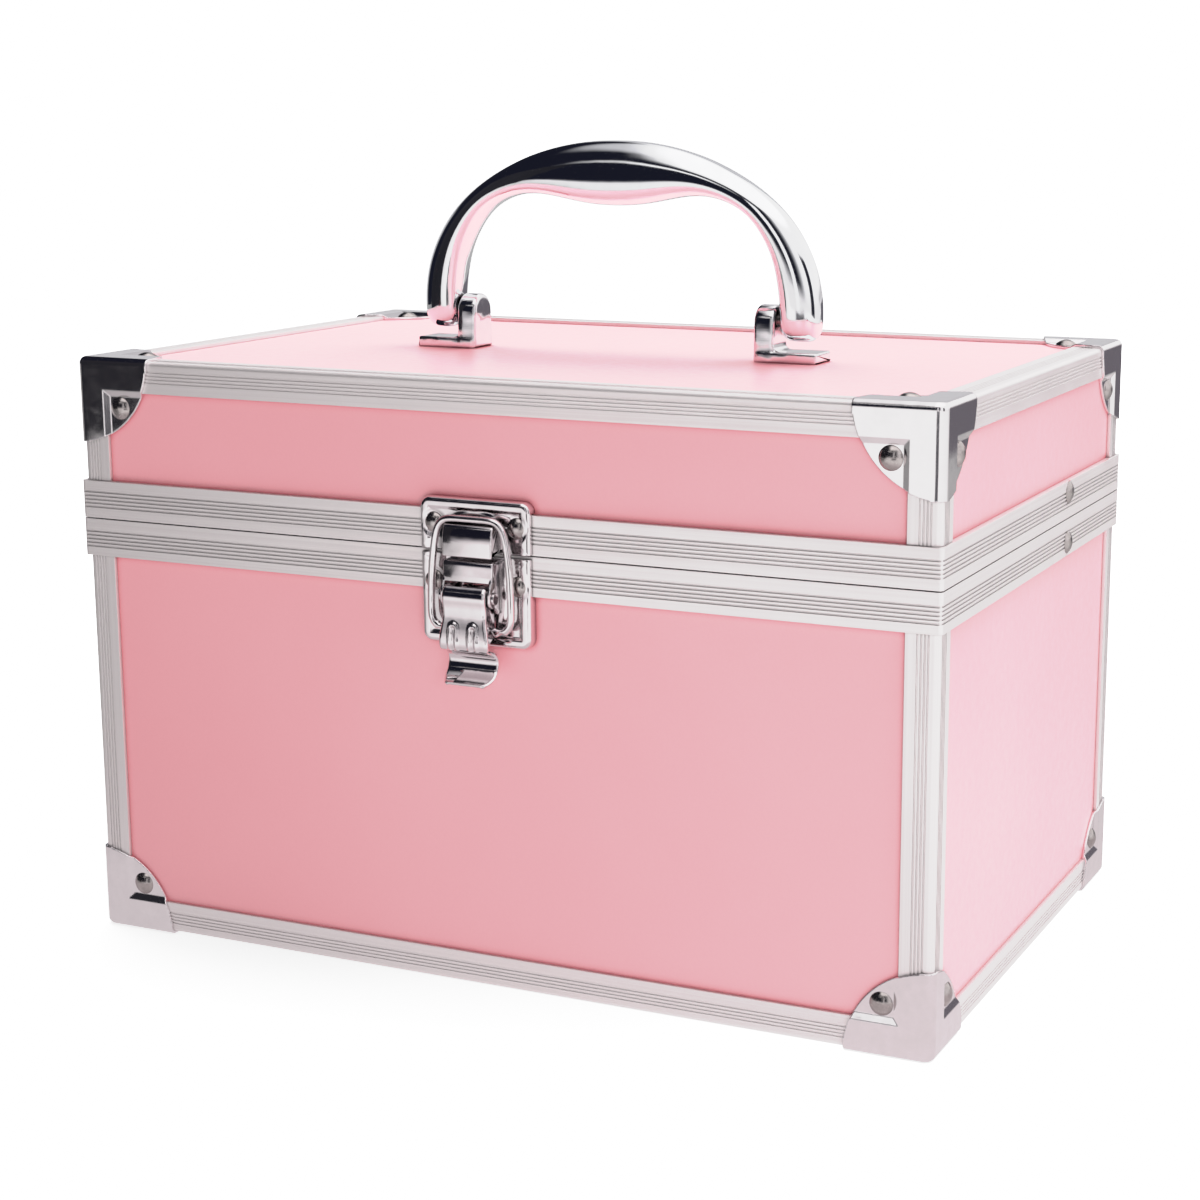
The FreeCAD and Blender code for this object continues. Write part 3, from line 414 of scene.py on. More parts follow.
# ------------------------------------------------------------------ handle grip: one smooth sweep
STATIONS = [((59.4, 166.0), (48.1, 166.0), 5.4), ((59.3, 170.5), (48.0, 170.5), 5.5), ((58.4, 176.5), (47.5, 175.2), 5.6),
            ((55.6, 184.2), (46.2, 181.4), 5.7), ((50.2, 192.4), (43.2, 188.0), 5.9), ((43.6, 198.6), (38.9, 193.2), 6.1),
            ((34.4, 204.4), (31.0, 197.1), 6.5), ((26.3, 208.0), (23.6, 197.9), 6.9), ((18.6, 210.3), (16.4, 197.0), 7.1),
            ((9.6, 211.9), (8.4, 195.6), 7.2), ((0.0, 212.4), (0.0, 195.1), 7.2)]


def handle_grip():
    st = [(o[0], o[1], i[0], i[1], b) for o, i, b in STATIONS]
    st = st + [(-a, b, -c, d, e) for a, b, c, d, e in reversed(st[:-1])]
    t = [0.0]
    for p, q in zip(st, st[1:]):
        t.append(t[-1] + math.hypot((p[0] + p[2] - q[0] - q[2]) / 2, (p[1] + p[3] - q[1] - q[3]) / 2))
    n = len(st)

    def smooth_pass(vals, k):
        # light averaging takes the last unevenness out of the measured stations
        for _ in range(k):
            v2 = list(vals)
            for i in range(2, n - 2):
                v2[i] = 0.5 * vals[i] + 0.25 * (vals[i - 1] + vals[i + 1]) if i != n // 2 else vals[i]
            vals = v2
        return vals

    # natural cubic spline through each column
    def spline(vals):
        h = [t[i + 1] - t[i] for i in range(n - 1)]
        al = [0.0] * n
        for i in range(1, n - 1):
            al[i] = 3 * ((vals[i + 1] - vals[i]) / h[i] - (vals[i] - vals[i - 1]) / h[i - 1])
        l, mu, z = [1.0] * n, [0.0] * n, [0.0] * n
        for i in range(1, n - 1):
            l[i] = 2 * (t[i + 1] - t[i - 1]) - h[i - 1] * mu[i - 1]
            mu[i] = h[i] / l[i]
            z[i] = (al[i] - h[i - 1] * z[i - 1]) / l[i]
        c = [0.0] * n
        b, d = [0.0] * n, [0.0] * n
        for i in range(n - 2, -1, -1):
            c[i] = z[i] - mu[i] * c[i + 1]
            b[i] = (vals[i + 1] - vals[i]) / h[i] - h[i] * (c[i + 1] + 2 * c[i]) / 3
            d[i] = (c[i + 1] - c[i]) / (3 * h[i])

        def f(x):
            i = 0
            while i < n - 2 and x > t[i + 1]:
                i += 1
            u = x - t[i]
            return vals[i] + b[i] * u + c[i] * u * u + d[i] * u ** 3
        return f

    cols = [spline([s[k] for s in st]) for k in range(5)]
    N, M = 150, 48

    LEAN = 0.22

    def section(o, i, b, k=2.35, sx=1.0, sy=1.0, dz=0.0):
        cx, cz = (o[0] + i[0]) / 2, (o[1] + i[1]) / 2
        dx, dz_ = o[0] - i[0], o[1] - i[1]
        L = math.hypot(dx, dz_)
        ux, uz = dx / L, dz_ / L
        ring = []
        for j in range(M):
            a = 2 * math.pi * j / M
            c, s_ = math.cos(a), math.sin(a)
            rr = (abs(c) ** k + abs(s_) ** k) ** (-1.0 / k)
            # the sides lean in towards the outer edge, so the widest line is below the middle
            u = L / 2 * rr * c * sx
            v = b * rr * s_ * sy * (1.0 - LEAN * rr * c) / (1.0 + LEAN * 0.12)
            ring.append(((cx + ux * u) * MM, (DY + v) * MM, (cz + uz * u + dz) * MM))
        return ring

    rings = []
    # rounded lower end of the right leg, then the sweep, then the left leg
    o0, i0, b0 = (st[0][0], st[0][1]), (st[0][2], st[0][3]), st[0][4]
    E = 12
    for e in range(E, 0, -1):
        a = math.radians(90.0 * e / E)
        f = math.cos(a)
        rings.append(section(o0, i0, b0, 2.35, max(0.10, f) ** 0.5 * 0.995, max(0.05, f) ** 0.85 * 0.995, -5.35 * math.sin(a) ** 1.0))
    for k in range(N + 1):
        x = t[-1] * k / N
        v = [c(x) for c in cols]
        rings.append(section((v[0], v[1]), (v[2], v[3]), v[4]))
    o1, i1, b1 = (st[-1][0], st[-1][1]), (st[-1][2], st[-1][3]), st[-1][4]
    for e in range(1, E + 1):
        a = math.radians(90.0 * e / E)
        f = math.cos(a)
        rings.append(section(o1, i1, b1, 2.35, max(0.10, f) ** 0.5 * 0.995, max(0.05, f) ** 0.85 * 0.995, -5.35 * math.sin(a) ** 1.0))
    verts, faces = loft(rings)
    return make("handle_grip_shape", verts, faces, "handle", M_CHROME_H, ("handle_grip",))


handle_grip()


# ------------------------------------------------------------------ linings: flocked cloth glued to the walls
def lining(name, node, body, up, seed):
    lo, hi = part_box(node)
    x1, y1 = (hi[0] - lo[0]) / 2 / MM, (hi[1] - lo[1]) / 2 / MM
    z0, z1 = lo[2] / MM, hi[2] / MM
    zb, zt = (z0, z1) if up else (z1, z0)      # closed side, open side
    s = 1.0 if up else -1.0
    t_w, t_f = 1.2, (1.6 if up else 1.3)

    rings = []

    def ring(inset, r, z, wave=0.0, inner=False):
        pts = []
        for (px, py) in round_rect(x1 - inset, y1 - inset, r):
            d = 0.0
            if wave:
                # the cloth lies close on its board, with a little unevenness away from the corners
                ex = min(1.0, (x1 - abs(px)) / 12.0) if abs(py) > y1 - 6 else min(1.0, (y1 - abs(py)) / 12.0)
                d = wave * max(0.0, ex) * (0.5 + 0.5 * wob(px, py, z, 0.11, seed))
            ux = -d if px > x1 - 8 else (d if px < -x1 + 8 else 0.0)
            uy = -d if py > y1 - 8 else (d if py < -y1 + 8 else 0.0)
            pts.append(((px + ux) * MM, (py + uy + DY) * MM, z * MM))
        rings.append(pts)

    # outer side, from the middle of the closed side to the open edge
    ring(x1 * 0.0 + y1 - 8.0, 4.0, zb)
    ring(0.6, 1.5, zb)
    ring(0.03, 1.5, zb + s * 0.6)
    ring(0.03, 1.5, zt - s * 0.5)
    ring(0.25, 1.5, zt - s * 0.1)
    ring(0.62, 1.5, zt)
    ring(0.98, 1.5, zt - s * 0.1)
    ring(t_w, 1.7, zt - s * 0.5)
    nz = 22
    ztop, zfl = zt - s * 0.5, zb + s * t_f
    R = 3.0
    for i in range(1, nz + 1):
        f = i / nz
        ring(t_w, 1.7 + 1.3 * f, ztop + (zfl + s * R - ztop) * f, 0.35 * math.sin(math.pi * min(1.0, f * 1.02)) if f < 1 else 0.0)
    for i in range(1, 7):
        a = math.radians(90.0 * i / 6)
        ring(t_w + R * (1 - math.cos(a)), 3.0, zfl + s * R * (1 - math.sin(a)))
    # closed side, rings shrinking to the middle, slightly cushioned
    for i in range(1, 22):
        f = i / 21.0
        inset = t_w + R + (y1 - 8.0 - t_w - R) * f
        zz = zfl
        pts = []
        for (px, py) in round_rect(x1 - inset, y1 - inset, max(4.0 * (1 - f) + 1.5, 1.0)):
            e = min(1.0, (inset - t_w) / 9.0)
            d = 0.45 * e * (0.5 + 0.5 * wob(px, py, 3.0, 0.085, seed + 1.0))
            pts.append((px * MM, (py + DY) * MM, (zz + s * d) * MM))
        rings.append(pts)
    verts, faces = loft(rings)
    return make(name, verts, faces, body, M_FLOCK, (node,))


lining("base_lining_cloth", "base_lining", "base", True, 0.4)
lining("lid_lining_cloth", "lid_lining", "lid", False, 2.2)


# ------------------------------------------------------------------ tray: flocked board with rounded edges
def tray():
    lo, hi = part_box("tray")
    tw = 1.6 * MM
    xs = [lo[0], lo[0] + tw, -36.8 * MM, -35.2 * MM, 35.2 * MM, 36.8 * MM, hi[0] - tw, hi[0]]
    yd = (-24.0 + DY) * MM
    ys = [lo[1], lo[1] + tw, yd - tw / 2, yd + tw / 2, hi[1] - tw, hi[1]]
    zs = [lo[2], lo[2] + tw, hi[2]]

    def solid(i, j, k):
        if not (0 <= i < 7 and 0 <= j < 5 and 0 <= k < 2):
            return False
        if k == 0:
            return True
        if i in (0, 6) or j in (0, 2, 4):
            return True
        return i in (2, 4) and j == 3

    bm = bmesh.new()
    vm = {}

    def vert(i, j, k):
        if (i, j, k) not in vm:
            vm[(i, j, k)] = bm.verts.new((xs[i], ys[j], zs[k]))
        return vm[(i, j, k)]

    for i in range(7):
        for j in range(5):
            for k in range(2):
                if not solid(i, j, k):
                    continue
                quads = (((i - 1, j, k), [(i, j, k), (i, j, k + 1), (i, j + 1, k + 1), (i, j + 1, k)]),
                         ((i + 1, j, k), [(i + 1, j, k), (i + 1, j + 1, k), (i + 1, j + 1, k + 1), (i + 1, j, k + 1)]),
                         ((i, j - 1, k), [(i, j, k), (i + 1, j, k), (i + 1, j, k + 1), (i, j, k + 1)]),
                         ((i, j + 1, k), [(i, j + 1, k), (i, j + 1, k + 1), (i + 1, j + 1, k + 1), (i + 1, j + 1, k)]),
                         ((i, j, k - 1), [(i, j, k), (i, j + 1, k), (i + 1, j + 1, k), (i + 1, j, k)]),
                         ((i, j, k + 1), [(i, j, k + 1), (i + 1, j, k + 1), (i + 1, j + 1, k + 1), (i, j + 1, k + 1)]))
                for (nb, q) in quads:
                    if not solid(*nb):
                        bm.faces.new([vert(*c) for c in q])
    bmesh.ops.dissolve_limit(bm, angle_limit=0.01, verts=bm.verts, edges=bm.edges)
    sharp = [e for e in bm.edges if len(e.link_faces) == 2 and e.calc_face_angle() > 0.5]
    bmesh.ops.bevel(bm, geom=sharp, offset=0.62 * MM, segments=4, profile=0.5, affect="EDGES", clamp_overlap=True)
    bmesh.ops.recalc_face_normals(bm, faces=bm.faces)
    me = bpy.data.meshes.new("tray_flocked")
    bm.to_mesh(me)
    bm.free()
    for p in me.polygons:
        p.use_smooth = True
    me.set_sharp_from_angle(angle=math.radians(40))
    me.materials.append(M_TRAY)
    o = bpy.data.objects.new("tray_flocked", me)
    scene.collection.objects.link(o)
    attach(o, "tray")
    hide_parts("tray")
    return o


tray()

# ------------------------------------------------------------------ latch: pressed sheet parts
def outline(x0, x1, z0, z1, radii, inset, n_c=7, n_x=30, n_z=16):
    # radii: lower right, upper right, upper left, lower left
    x0, x1, z0, z1 = x0 + inset, x1 - inset, z0 + inset, z1 - inset
    rr = [max(r - inset, 0.06) for r in radii]
    cs = [(x1 - rr[0], z0 + rr[0], -90, rr[0]), (x1 - rr[1], z1 - rr[1], 0, rr[1]), (x0 + rr[2], z1 - rr[2], 90, rr[2]),
          (x0 + rr[3], z0 + rr[3], 180, rr[3])]
    pts = []
    for k, (cx, cz, a0, r) in enumerate(cs):
        for i in range(n_c + 1):
            a = math.radians(a0 + 90.0 * i / n_c)
            pts.append((cx + r * math.cos(a), cz + r * math.sin(a)))
        nc = cs[(k + 1) % 4]
        a = math.radians(nc[2])
        q = (nc[0] + nc[3] * math.cos(a), nc[1] + nc[3] * math.sin(a))
        m = (n_z, n_x, n_z, n_x)[k]
        last = pts[-1]
        for i in range(1, m):
            t = i / m
            pts.append((last[0] + (q[0] - last[0]) * t, last[1] + (q[1] - last[1]) * t))
    return pts


def P3(x, p, z):
    return (x * MM, (DY - HY - p) * MM, z * MM)


def join_shells(name, shells, body, mat, replaces, sharp=38.0):
    verts, faces = [], []
    for v, f in shells:
        o = len(verts)
        verts += v
        faces += [tuple(i + o for i in q) for q in f]
    ob = make(name, verts, faces, body, mat, replaces)
    ob.data.set_sharp_from_angle(angle=math.radians(sharp))
    return ob


def pressed_plate(box_, radii, h, pb, insets):
    x0, x1, z0, z1 = box_
    rings = []
    for d in insets:                                   # front skin, middle to edge
        rings.append([P3(x, h(x, z), z) for x, z in outline(x0, x1, z0, z1, radii, d)])
    rings.append([P3(x, pb(x, z), z) for x, z in outline(x0, x1, z0, z1, radii, 0.0)])
    rings.append([P3(x, pb(x, z), z) for x, z in outline(x0, x1, z0, z1, radii, 0.55)])
    for d in reversed([i for i in insets if i >= 0.9]):
        rings.append([P3(x, max(h(x, z) - 0.6, 0.04), z) for x, z in outline(x0, x1, z0, z1, radii, d)])
    return loft(rings)


def rounded_slab(profile, x0, x1, bev, steps=4, P=P3):
    n = len(profile)
    area2 = sum(profile[i][0] * profile[(i + 1) % n][1] - profile[(i + 1) % n][0] * profile[i][1] for i in range(n))
    sg = 1.0 if area2 > 0 else -1.0

    def inset(d):
        out = []
        for i in range(n):
            a, b, c = profile[i - 1], profile[i], profile[(i + 1) % n]
            e1 = (b[0] - a[0], b[1] - a[1])
            e2 = (c[0] - b[0], c[1] - b[1])
            l1, l2 = math.hypot(*e1) or 1e-9, math.hypot(*e2) or 1e-9
            nx, nz = -(e1[1] / l1 + e2[1] / l2) * sg, (e1[0] / l1 + e2[0] / l2) * sg
            l = math.hypot(nx, nz) or 1e-9
            k = min(1.6, 2.0 / l) / l
            out.append((b[0] + nx * k * d, b[1] + nz * k * d))
        return out

    # from the face at x0 outwards: full inset first
    seq = [(x0 + bev * (1 - math.cos(math.radians(90.0 * i / steps))), bev * (1 - math.sin(math.radians(90.0 * i / steps))))
           for i in range(steps + 1)]
    back = [(x1 - (x - x0), d) for x, d in reversed(seq)]
    rings = [[P(x, p, z) for p, z in inset(d)] for x, d in seq + back]
    return loft(rings)


def round_corners(pts, radii, n=5):
    # polygon with arcs at its corners (quadratic blends)
    out = []
    m = len(pts)
    for i in range(m):
        a, b, c = pts[i - 1], pts[i], pts[(i + 1) % m]
        r = radii[i]
        l1, l2 = math.hypot(b[0] - a[0], b[1] - a[1]), math.hypot(c[0] - b[0], c[1] - b[1])
        r1, r2 = min(r, l1 * 0.48), min(r, l2 * 0.48)
        p = (b[0] + (a[0] - b[0]) * r1 / l1, b[1] + (a[1] - b[1]) * r1 / l1)
        q = (b[0] + (c[0] - b[0]) * r2 / l2, b[1] + (c[1] - b[1]) * r2 / l2)
        for k in range(n + 1):
            t = k / n
            out.append(((1 - t) ** 2 * p[0] + 2 * t * (1 - t) * b[0] + t * t * q[0],
                        (1 - t) ** 2 * p[1] + 2 * t * (1 - t) * b[1] + t * t * q[1]))
    return out


RIM_TOP, RIM_LOW = 124.2, 104.0
KX, KZ0, KZ1 = 15.4, 114.35, 127.3
BX, BZ0, BZ1 = 15.3, 90.6, 113.3


def edge_roll(d):
    # height of the pressed border against the distance from its edge
    r = 1.25
    if d < r:
        return 0.25 + 1.25 * math.sqrt(max(0.0, 1 - ((r - d) / r) ** 2))
    if d < 2.1:
        return 1.5
    if d < 3.1:
        return 1.5 - 0.5 * smoothstep((d - 2.1) / 1.0)
    return 1.0


def corner_dist(x, z, hx, ze, up, r):
    # distance to the sides and the closed end of a plate with rounded corners
    dx = hx - abs(x)
    dz = (ze - z) if up else (z - ze)
    if dx < r and dz < r:
        return r - math.hypot(r - dx, r - dz)
    return min(dx, dz)


def keeper_h(x, z):
    h = edge_roll(corner_dist(x, z, KX, KZ1, True, 2.6))
    # raised seat inside the wire loop
    rr = math.hypot(x / 9.6, max(0.0, z - 115.5) / 9.3)
    if h <= 1.001 or rr < 1.0:
        h = max(h, 1.0) + 0.25 * smoothstep((1.06 - rr) / 0.16) if h <= 1.5 and rr < 1.1 else h
    # dishes around the rivets
    for rx in (-11.6, 11.6):
        d = math.hypot(x - rx, z - 120.8)
        if d < 3.6:
            h -= 0.22 * smoothstep((3.6 - d) / 0.8)
    return min(h, 1.55)


def base_h(x, z):
    h = edge_roll(corner_dist(x, z, BX, BZ0, False, 2.6))
    rr = max(abs(x) / 9.0, max(0.0, 101.0 - z) / 8.6)
    if abs(x) < 9.8 and z > 91.5:
        q = math.hypot(x / 9.4, max(0.0, 103.0 - z) / 10.2)
        h = max(h, 1.0 + 0.20 * smoothstep((1.04 - q) / 0.16)) if h <= 1.5 else h
    for rx in (-11.9, 11.9):
        d = math.hypot(x - rx, z - 106.3)
        if d < 3.6:
            h -= 0.22 * smoothstep((3.6 - d) / 0.8)
    return min(h, 1.55)


INS = [6.3, 6.0, 5.6, 5.2, 4.8, 4.4, 4.0, 3.7, 3.4, 3.1, 2.85, 2.6, 2.35, 2.1, 1.8, 1.5, 1.25, 1.0, 0.75, 0.5, 0.3, 0.15, 0.05, 0.0]
INSB = [11.2, 10.7, 10.2, 9.7, 9.2, 8.7, 8.2, 7.7, 7.3, 6.9, 6.6] + INS


def strap_block(face_pts, x0, x1, bev):
    return rounded_slab(face_pts, x0, x1, bev)


# keeper with its hook
hook_prof = round_corners([(0.9, 114.9), (4.5, 114.5), (4.75, 113.45), (5.45, 113.55), (5.38, 115.6), (5.30, 117.6), (5.02, 119.6), (4.4, 121.3),
                           (0.9, 121.9)], [0.1, 0.3, 0.25, 0.30, 0.9, 0.9, 1.0, 0.9, 0.1])
join_shells("latch_keeper_pressed", [
    pressed_plate((-KX, KX, KZ0, KZ1), (0.2, 2.6, 2.6, 0.2), keeper_h, lambda x, z: -1.68 if z > RIM_TOP + 0.03 else 0.03, INS),
    strap_block(hook_prof, -6.9, 6.9, 0.45)], "lid", M_CHROME, ("latch_keeper",))

# base plate with the bridge and two pivot cheeks
bridge_prof = round_corners([(0.9, 111.9), (0.9, 112.5), (4.5, 112.6), (5.0, 111.9), (5.16, 109.8), (5.38, 107.3), (4.6, 107.1), (4.35, 110.8), (4.2, 111.7)],
                            [0.1, 0.1, 0.7, 0.7, 0.9, 0.25, 0.25, 0.5, 0.4])
cheek = [(0.9, 100.2), (0.9, 112.0), (4.6, 112.0), (5.0, 108.5), (6.6, 105.4), (6.6, 102.2), (5.2, 101.2), (3.6, 100.9), (2.2, 99.0)]
cheek_prof = round_corners(cheek, [0.1, 0.1, 0.6, 1.0, 1.2, 1.0, 0.8, 0.8, 0.8])
join_shells("latch_base_pressed", [
    pressed_plate((-BX, BX, BZ0, BZ1), (2.6, 0.2, 0.2, 2.6), base_h, lambda x, z: -1.68 if z < RIM_LOW - 0.03 else 0.03, INSB),
    strap_block(bridge_prof, -6.9, 6.9, 0.40),
    rounded_slab(cheek_prof, -6.92, -6.15, 0.26), rounded_slab(cheek_prof, 6.15, 6.92, 0.26)],
    "base", M_CHROME, ("latch_base_plate",))


# lever: one pressed skin with rolled sides, two ribs, a curled top and the finger tab
def lever():
    PP, PZ = 4.6, 103.6
    path = []                                    # (p, z) of the outer skin from the curl to the tab tip
    for i in range(9):
        a = math.radians(54.0 - 54.0 * i / 8)
        path.append((PP + 3.38 * math.cos(a), PZ + 3.38 * math.sin(a)))
    path += [(7.90, 102.9), (7.72, 102.0), (7.58, 101.0), (7.52, 100.0), (7.56, 99.0), (7.68, 97.9), (7.82, 96.8), (7.98, 95.6), (8.13, 94.4),
             (8.24, 93.2), (8.22, 92.2), (8.00, 91.2), (7.45, 90.45), (6.4, 90.0), (5.1, 89.5), (3.95, 88.9), (3.25, 87.9), (3.12, 86.7),
             (3.5, 85.4), (4.3, 84.3), (5.4, 83.4), (6.7, 82.75), (7.9, 82.4)]
    # resample smoothly
    fine = []
    m = len(path)
    for i in range(m - 1):
        p0, p1, p2, p3 = path[max(i - 1, 0)], path[i], path[i + 1], path[min(i + 2, m - 1)]
        for k in range(4):
            t = k / 4
            fine.append(tuple(0.5 * (2 * p1[j] + (p2[j] - p0[j]) * t + (2 * p0[j] - 5 * p1[j] + 4 * p2[j] - p3[j]) * t * t
                                     + (3 * p1[j] - p0[j] - 3 * p2[j] + p3[j]) * t ** 3) for j in range(2)))
    fine.append(path[-1])

    def half_width(z, i):
        if z > 99.6:
            w = 5.98
        elif z > 92.0:
            w = 5.98 + (6.85 - 5.98) * smoothstep((99.6 - z) / 7.0)
        else:
            w = 6.85
        if z < 90.6:                              # waist, then the tab
            w = 6.85 - 0.9 * smoothstep((90.6 - z) / 0.5) + 1.1 * smoothstep((89.9 - z) / 1.2)
        if z < 84.3:                              # rounded tip
            t = min(1.0, (84.3 - z) / 1.9)
            w = 7.05 - 1.9 * (1 - math.sqrt(max(0.0, 1 - t * t)))
        return w

    NX = 60
    th = 0.7
    front, back = [], []
    nf = len(fine)
    for i, (p, z) in enumerate(fine):
        a = fine[max(i - 1, 0)]
        b = fine[min(i + 1, nf - 1)]
        dp, dz = b[0] - a[0], b[1] - a[1]
        L = math.hypot(dp, dz)
        np_, nz_ = -dz / L, dp / L                # outward normal in the (p, z) plane
        w = half_width(z, i)
        fr, bk = [], []
        for j in range(NX + 1):
            x = -w + 2 * w * j / NX
            off = 0.0
            ex = w - abs(x)
            roll = 0.75
            if ex < roll:
                off -= roll * (1 - math.sqrt(max(0.0, 1 - ((roll - ex) / roll) ** 2))) * (1.0 if z > 90.4 else 0.55)
            if 90.2 < z < 98.6:
                for rx in (-2.75, 2.75):
                    top = 97.4
                    dz_ = max(0.0, z - (top - 1.2))
                    d = math.hypot((x - rx), dz_)
                    if d < 1.5:
                        off += 0.50 * math.sqrt(max(0.0, 1 - (d / 1.5) ** 2)) * smoothstep((z - 90.2) / 0.9)
                    if d < 0.85 and z < 96.9:
                        off -= 0.70 * smoothstep((0.85 - d) / 0.55) * smoothstep((z - 90.2) / 0.9) * smoothstep((96.9 - z) / 0.8)
            fr.append(P3(x, p + np_ * off, z + nz_ * off))
            o2 = min(off, 0.0) - th
            if off < -0.3:
                o2 = off - th * 0.75
            bk.append(P3(x * (1 - 0.35 / max(w, 1)), p + np_ * o2, z + nz_ * o2))
        front.append(fr)
        back.append(bk)
    verts, faces = [], []
    rows = NX + 1
    for r in front + back:
        verts += r
    off = nf * rows
    for i in range(nf - 1):
        for j in range(NX):
            a = i * rows + j
            faces.append((a, a + 1, a + rows + 1, a + rows))
            faces.append((off + a, off + a + rows, off + a + rows + 1, off + a + 1))
    for i in range(nf - 1):
        a = i * rows
        faces.append((a, a + rows, off + a + rows, off + a))
        a = i * rows + NX
        faces.append((a, off + a, off + a + rows, a + rows))
    for j in range(NX):
        a = j
        faces.append((a, off + a, off + a + 1, a + 1))
        a = (nf - 1) * rows + j
        faces.append((a, a + 1, off + a + 1, off + a))
    skin = (verts, faces)
    fl = [(6.95, 91.4), (6.95, 101.4), (6.7, 103.0), (6.2, 105.0), (4.8, 105.9), (3.2, 105.2), (2.5, 103.6), (2.35, 98.0), (1.95, 95.6),
          (2.3, 93.8), (4.2, 92.6), (6.2, 91.0)]
    fprof = round_corners(fl, [0.5, 0.4, 0.8, 1.0, 1.0, 1.0, 0.9, 1.2, 1.0, 0.9, 0.9, 0.6])
    join_shells("latch_lever_pressed", [skin, rounded_slab(fprof, -5.87, -5.05, 0.25), rounded_slab(fprof, 5.05, 5.87, 0.25)],
                "latch_lever", M_CHROME, ("latch_lever",), 50.0)


lever()


# ------------------------------------------------------------------ handle brackets: castings with draft and soft edges
def PB(x, p, z):
    return (x * MM, (DY + p) * MM, z * MM)


def bracket(sx, node, name):
    z0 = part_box(node)[1][2] / MM                  # top of the ear
    top, zf, r = z0, 155.25, 4.95
    prof = [(-5.35, zf), (5.35, zf)]
    c = top - r
    a0 = 2.0
    for i in range(25):
        a = math.radians(a0 + (180 - 2 * a0) * i / 24)
        prof.append((r * math.cos(a), c + r * math.sin(a)))
    ear = rounded_slab(prof, 41.75, 47.6, 1.15, 7, P=PB)
    fz = zf + 2.85
    rings = []
    foot = round_corners([(-5.35, zf), (5.35, zf), (5.3, fz), (-5.3, fz)], [0.05, 0.05, 0.6, 0.6])
    ft = rounded_slab(foot, 43.0, 59.8, 0.5, 4, P=PB)
    # fillet between foot and ear
    fil = []
    R = 1.7
    arc = [(47.0, fz - 0.6), (47.0, fz + R + 0.5)] + [(47.45 + R - R * math.cos(math.radians(t)), fz + R - R * math.sin(math.radians(t)))
                                                      for t in range(0, 91, 15)] + [(47.45 + R + 0.4, fz - 0.5)]
    rr = []
    for y in (-4.7, -4.4, 4.4, 4.7):
        k = 0.25 if abs(y) > 4.5 else 0.0
        rr.append([(x - k * (1 if x > 47.2 else 0), y, z - k * (1 if z > fz else 0)) for x, z in arc])
    fv, ff = loft([[(x * MM, (DY + y) * MM, z * MM) for x, y, z in q] for q in rr])
    shells = [ear, ft, (fv, ff)]
    if sx < 0:
        shells = [([(-v[0], v[1], v[2]) for v in vs_], [tuple(reversed(f)) for f in fs_]) for vs_, fs_ in shells]
    return join_shells(name, shells, "lid", M_CAST, (node,), 40.0)


bracket(1, "handle_bracket_right", "handle_bracket_right_cast")
bracket(-1, "handle_bracket_left", "handle_bracket_left_cast")


def handle_pins(body):
    # plain pins, their ends flush inside the ears
    shells = []
    for sx in (1, -1):
        rings = []
        for (x, r) in ((42.3, 1.55), (42.45, 1.78), (42.6, 1.88), (48.0, 1.88), (54.2, 1.88), (54.4, 1.7)):
            rings.append([(sx * x * MM, (DY + r * math.cos(2 * math.pi * i / 40)) * MM, (166.0 + r * math.sin(2 * math.pi * i / 40)) * MM)
                          for i in range(40)])
        shells.append(loft(rings))
    return join_shells("handle_pins_plain", shells, body, M_NICKEL, ("handle_pins",), 40.0)


handle_pins("lid")

# ------------------------------------------------------------------ stage, light and camera
def area(name, loc, target, size, energy, color=(1, 1, 1), size_y=None, glossy=True):
    l = bpy.data.lights.new(name, "AREA")
    l.shape = "RECTANGLE" if size_y else "SQUARE"
    l.size = size
    if size_y:
        l.size_y = size_y
    l.energy = energy
    l.color = color
    o = bpy.data.objects.new(name, l)
    o.location = loc
    o.rotation_euler = (Vector(target) - Vector(loc)).to_track_quat("-Z", "Y").to_euler()
    o.visible_glossy = glossy
    scene.collection.objects.link(o)
    return o


def plane(name, corners, mat, hidden=False):
    me = bpy.data.meshes.new(name)
    me.from_pydata([Vector(c) for c in corners], [], [tuple(range(len(corners)))])
    me.materials.append(mat)
    o = bpy.data.objects.new(name, me)
    scene.collection.objects.link(o)
    o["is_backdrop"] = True
    if hidden:
        o.visible_camera = False
        o.visible_diffuse = False
        o.visible_shadow = False
        o.visible_transmission = False
    return o


def floor_material():
    # white table top that runs out to a lit white cove
    m = Mat("pale_floor")
    v = m.mapping((1, 1, 1))
    a = m.noise(v, 3.0, 3.0, 0.5)
    m.set(Base_Color=m.mixc(m.ramp(a, 0.3, 0.7, 0, 1), (0.93, 0.93, 0.93), (0.91, 0.91, 0.91)), Roughness=0.7)
    m.p.inputs["Specular IOR Level"].default_value = 0.1
    ln = m.n("ShaderNodeVectorMath", operation="LENGTH")
    m.link(m.co, ln.inputs[0])
    m.p.inputs["Emission Color"].default_value = (1, 1, 1, 1)
    m.link(m.ramp(ln.outputs["Value"], 0.08, 0.50, 0.40, 2.1), m.p.inputs["Emission Strength"])
    return m.m


def dark_card():
    m = Mat("dark_card")
    v = m.mapping((1, 1, 1))
    a = m.noise(v, 3.0, 2.0, 0.5)
    m.set(Base_Color=m.mixc(a, (0.010, 0.010, 0.013), (0.018, 0.018, 0.022)), Roughness=0.9)
    m.p.inputs["Specular IOR Level"].default_value = 0.0
    return m.m


floor = plane("floor", [(-14, -14, 0), (14, -14, 0), (14, 14, 0), (-14, 14, 0)], floor_material())
floor.visible_glossy = False
floor.visible_diffuse = False
DARK = dark_card()


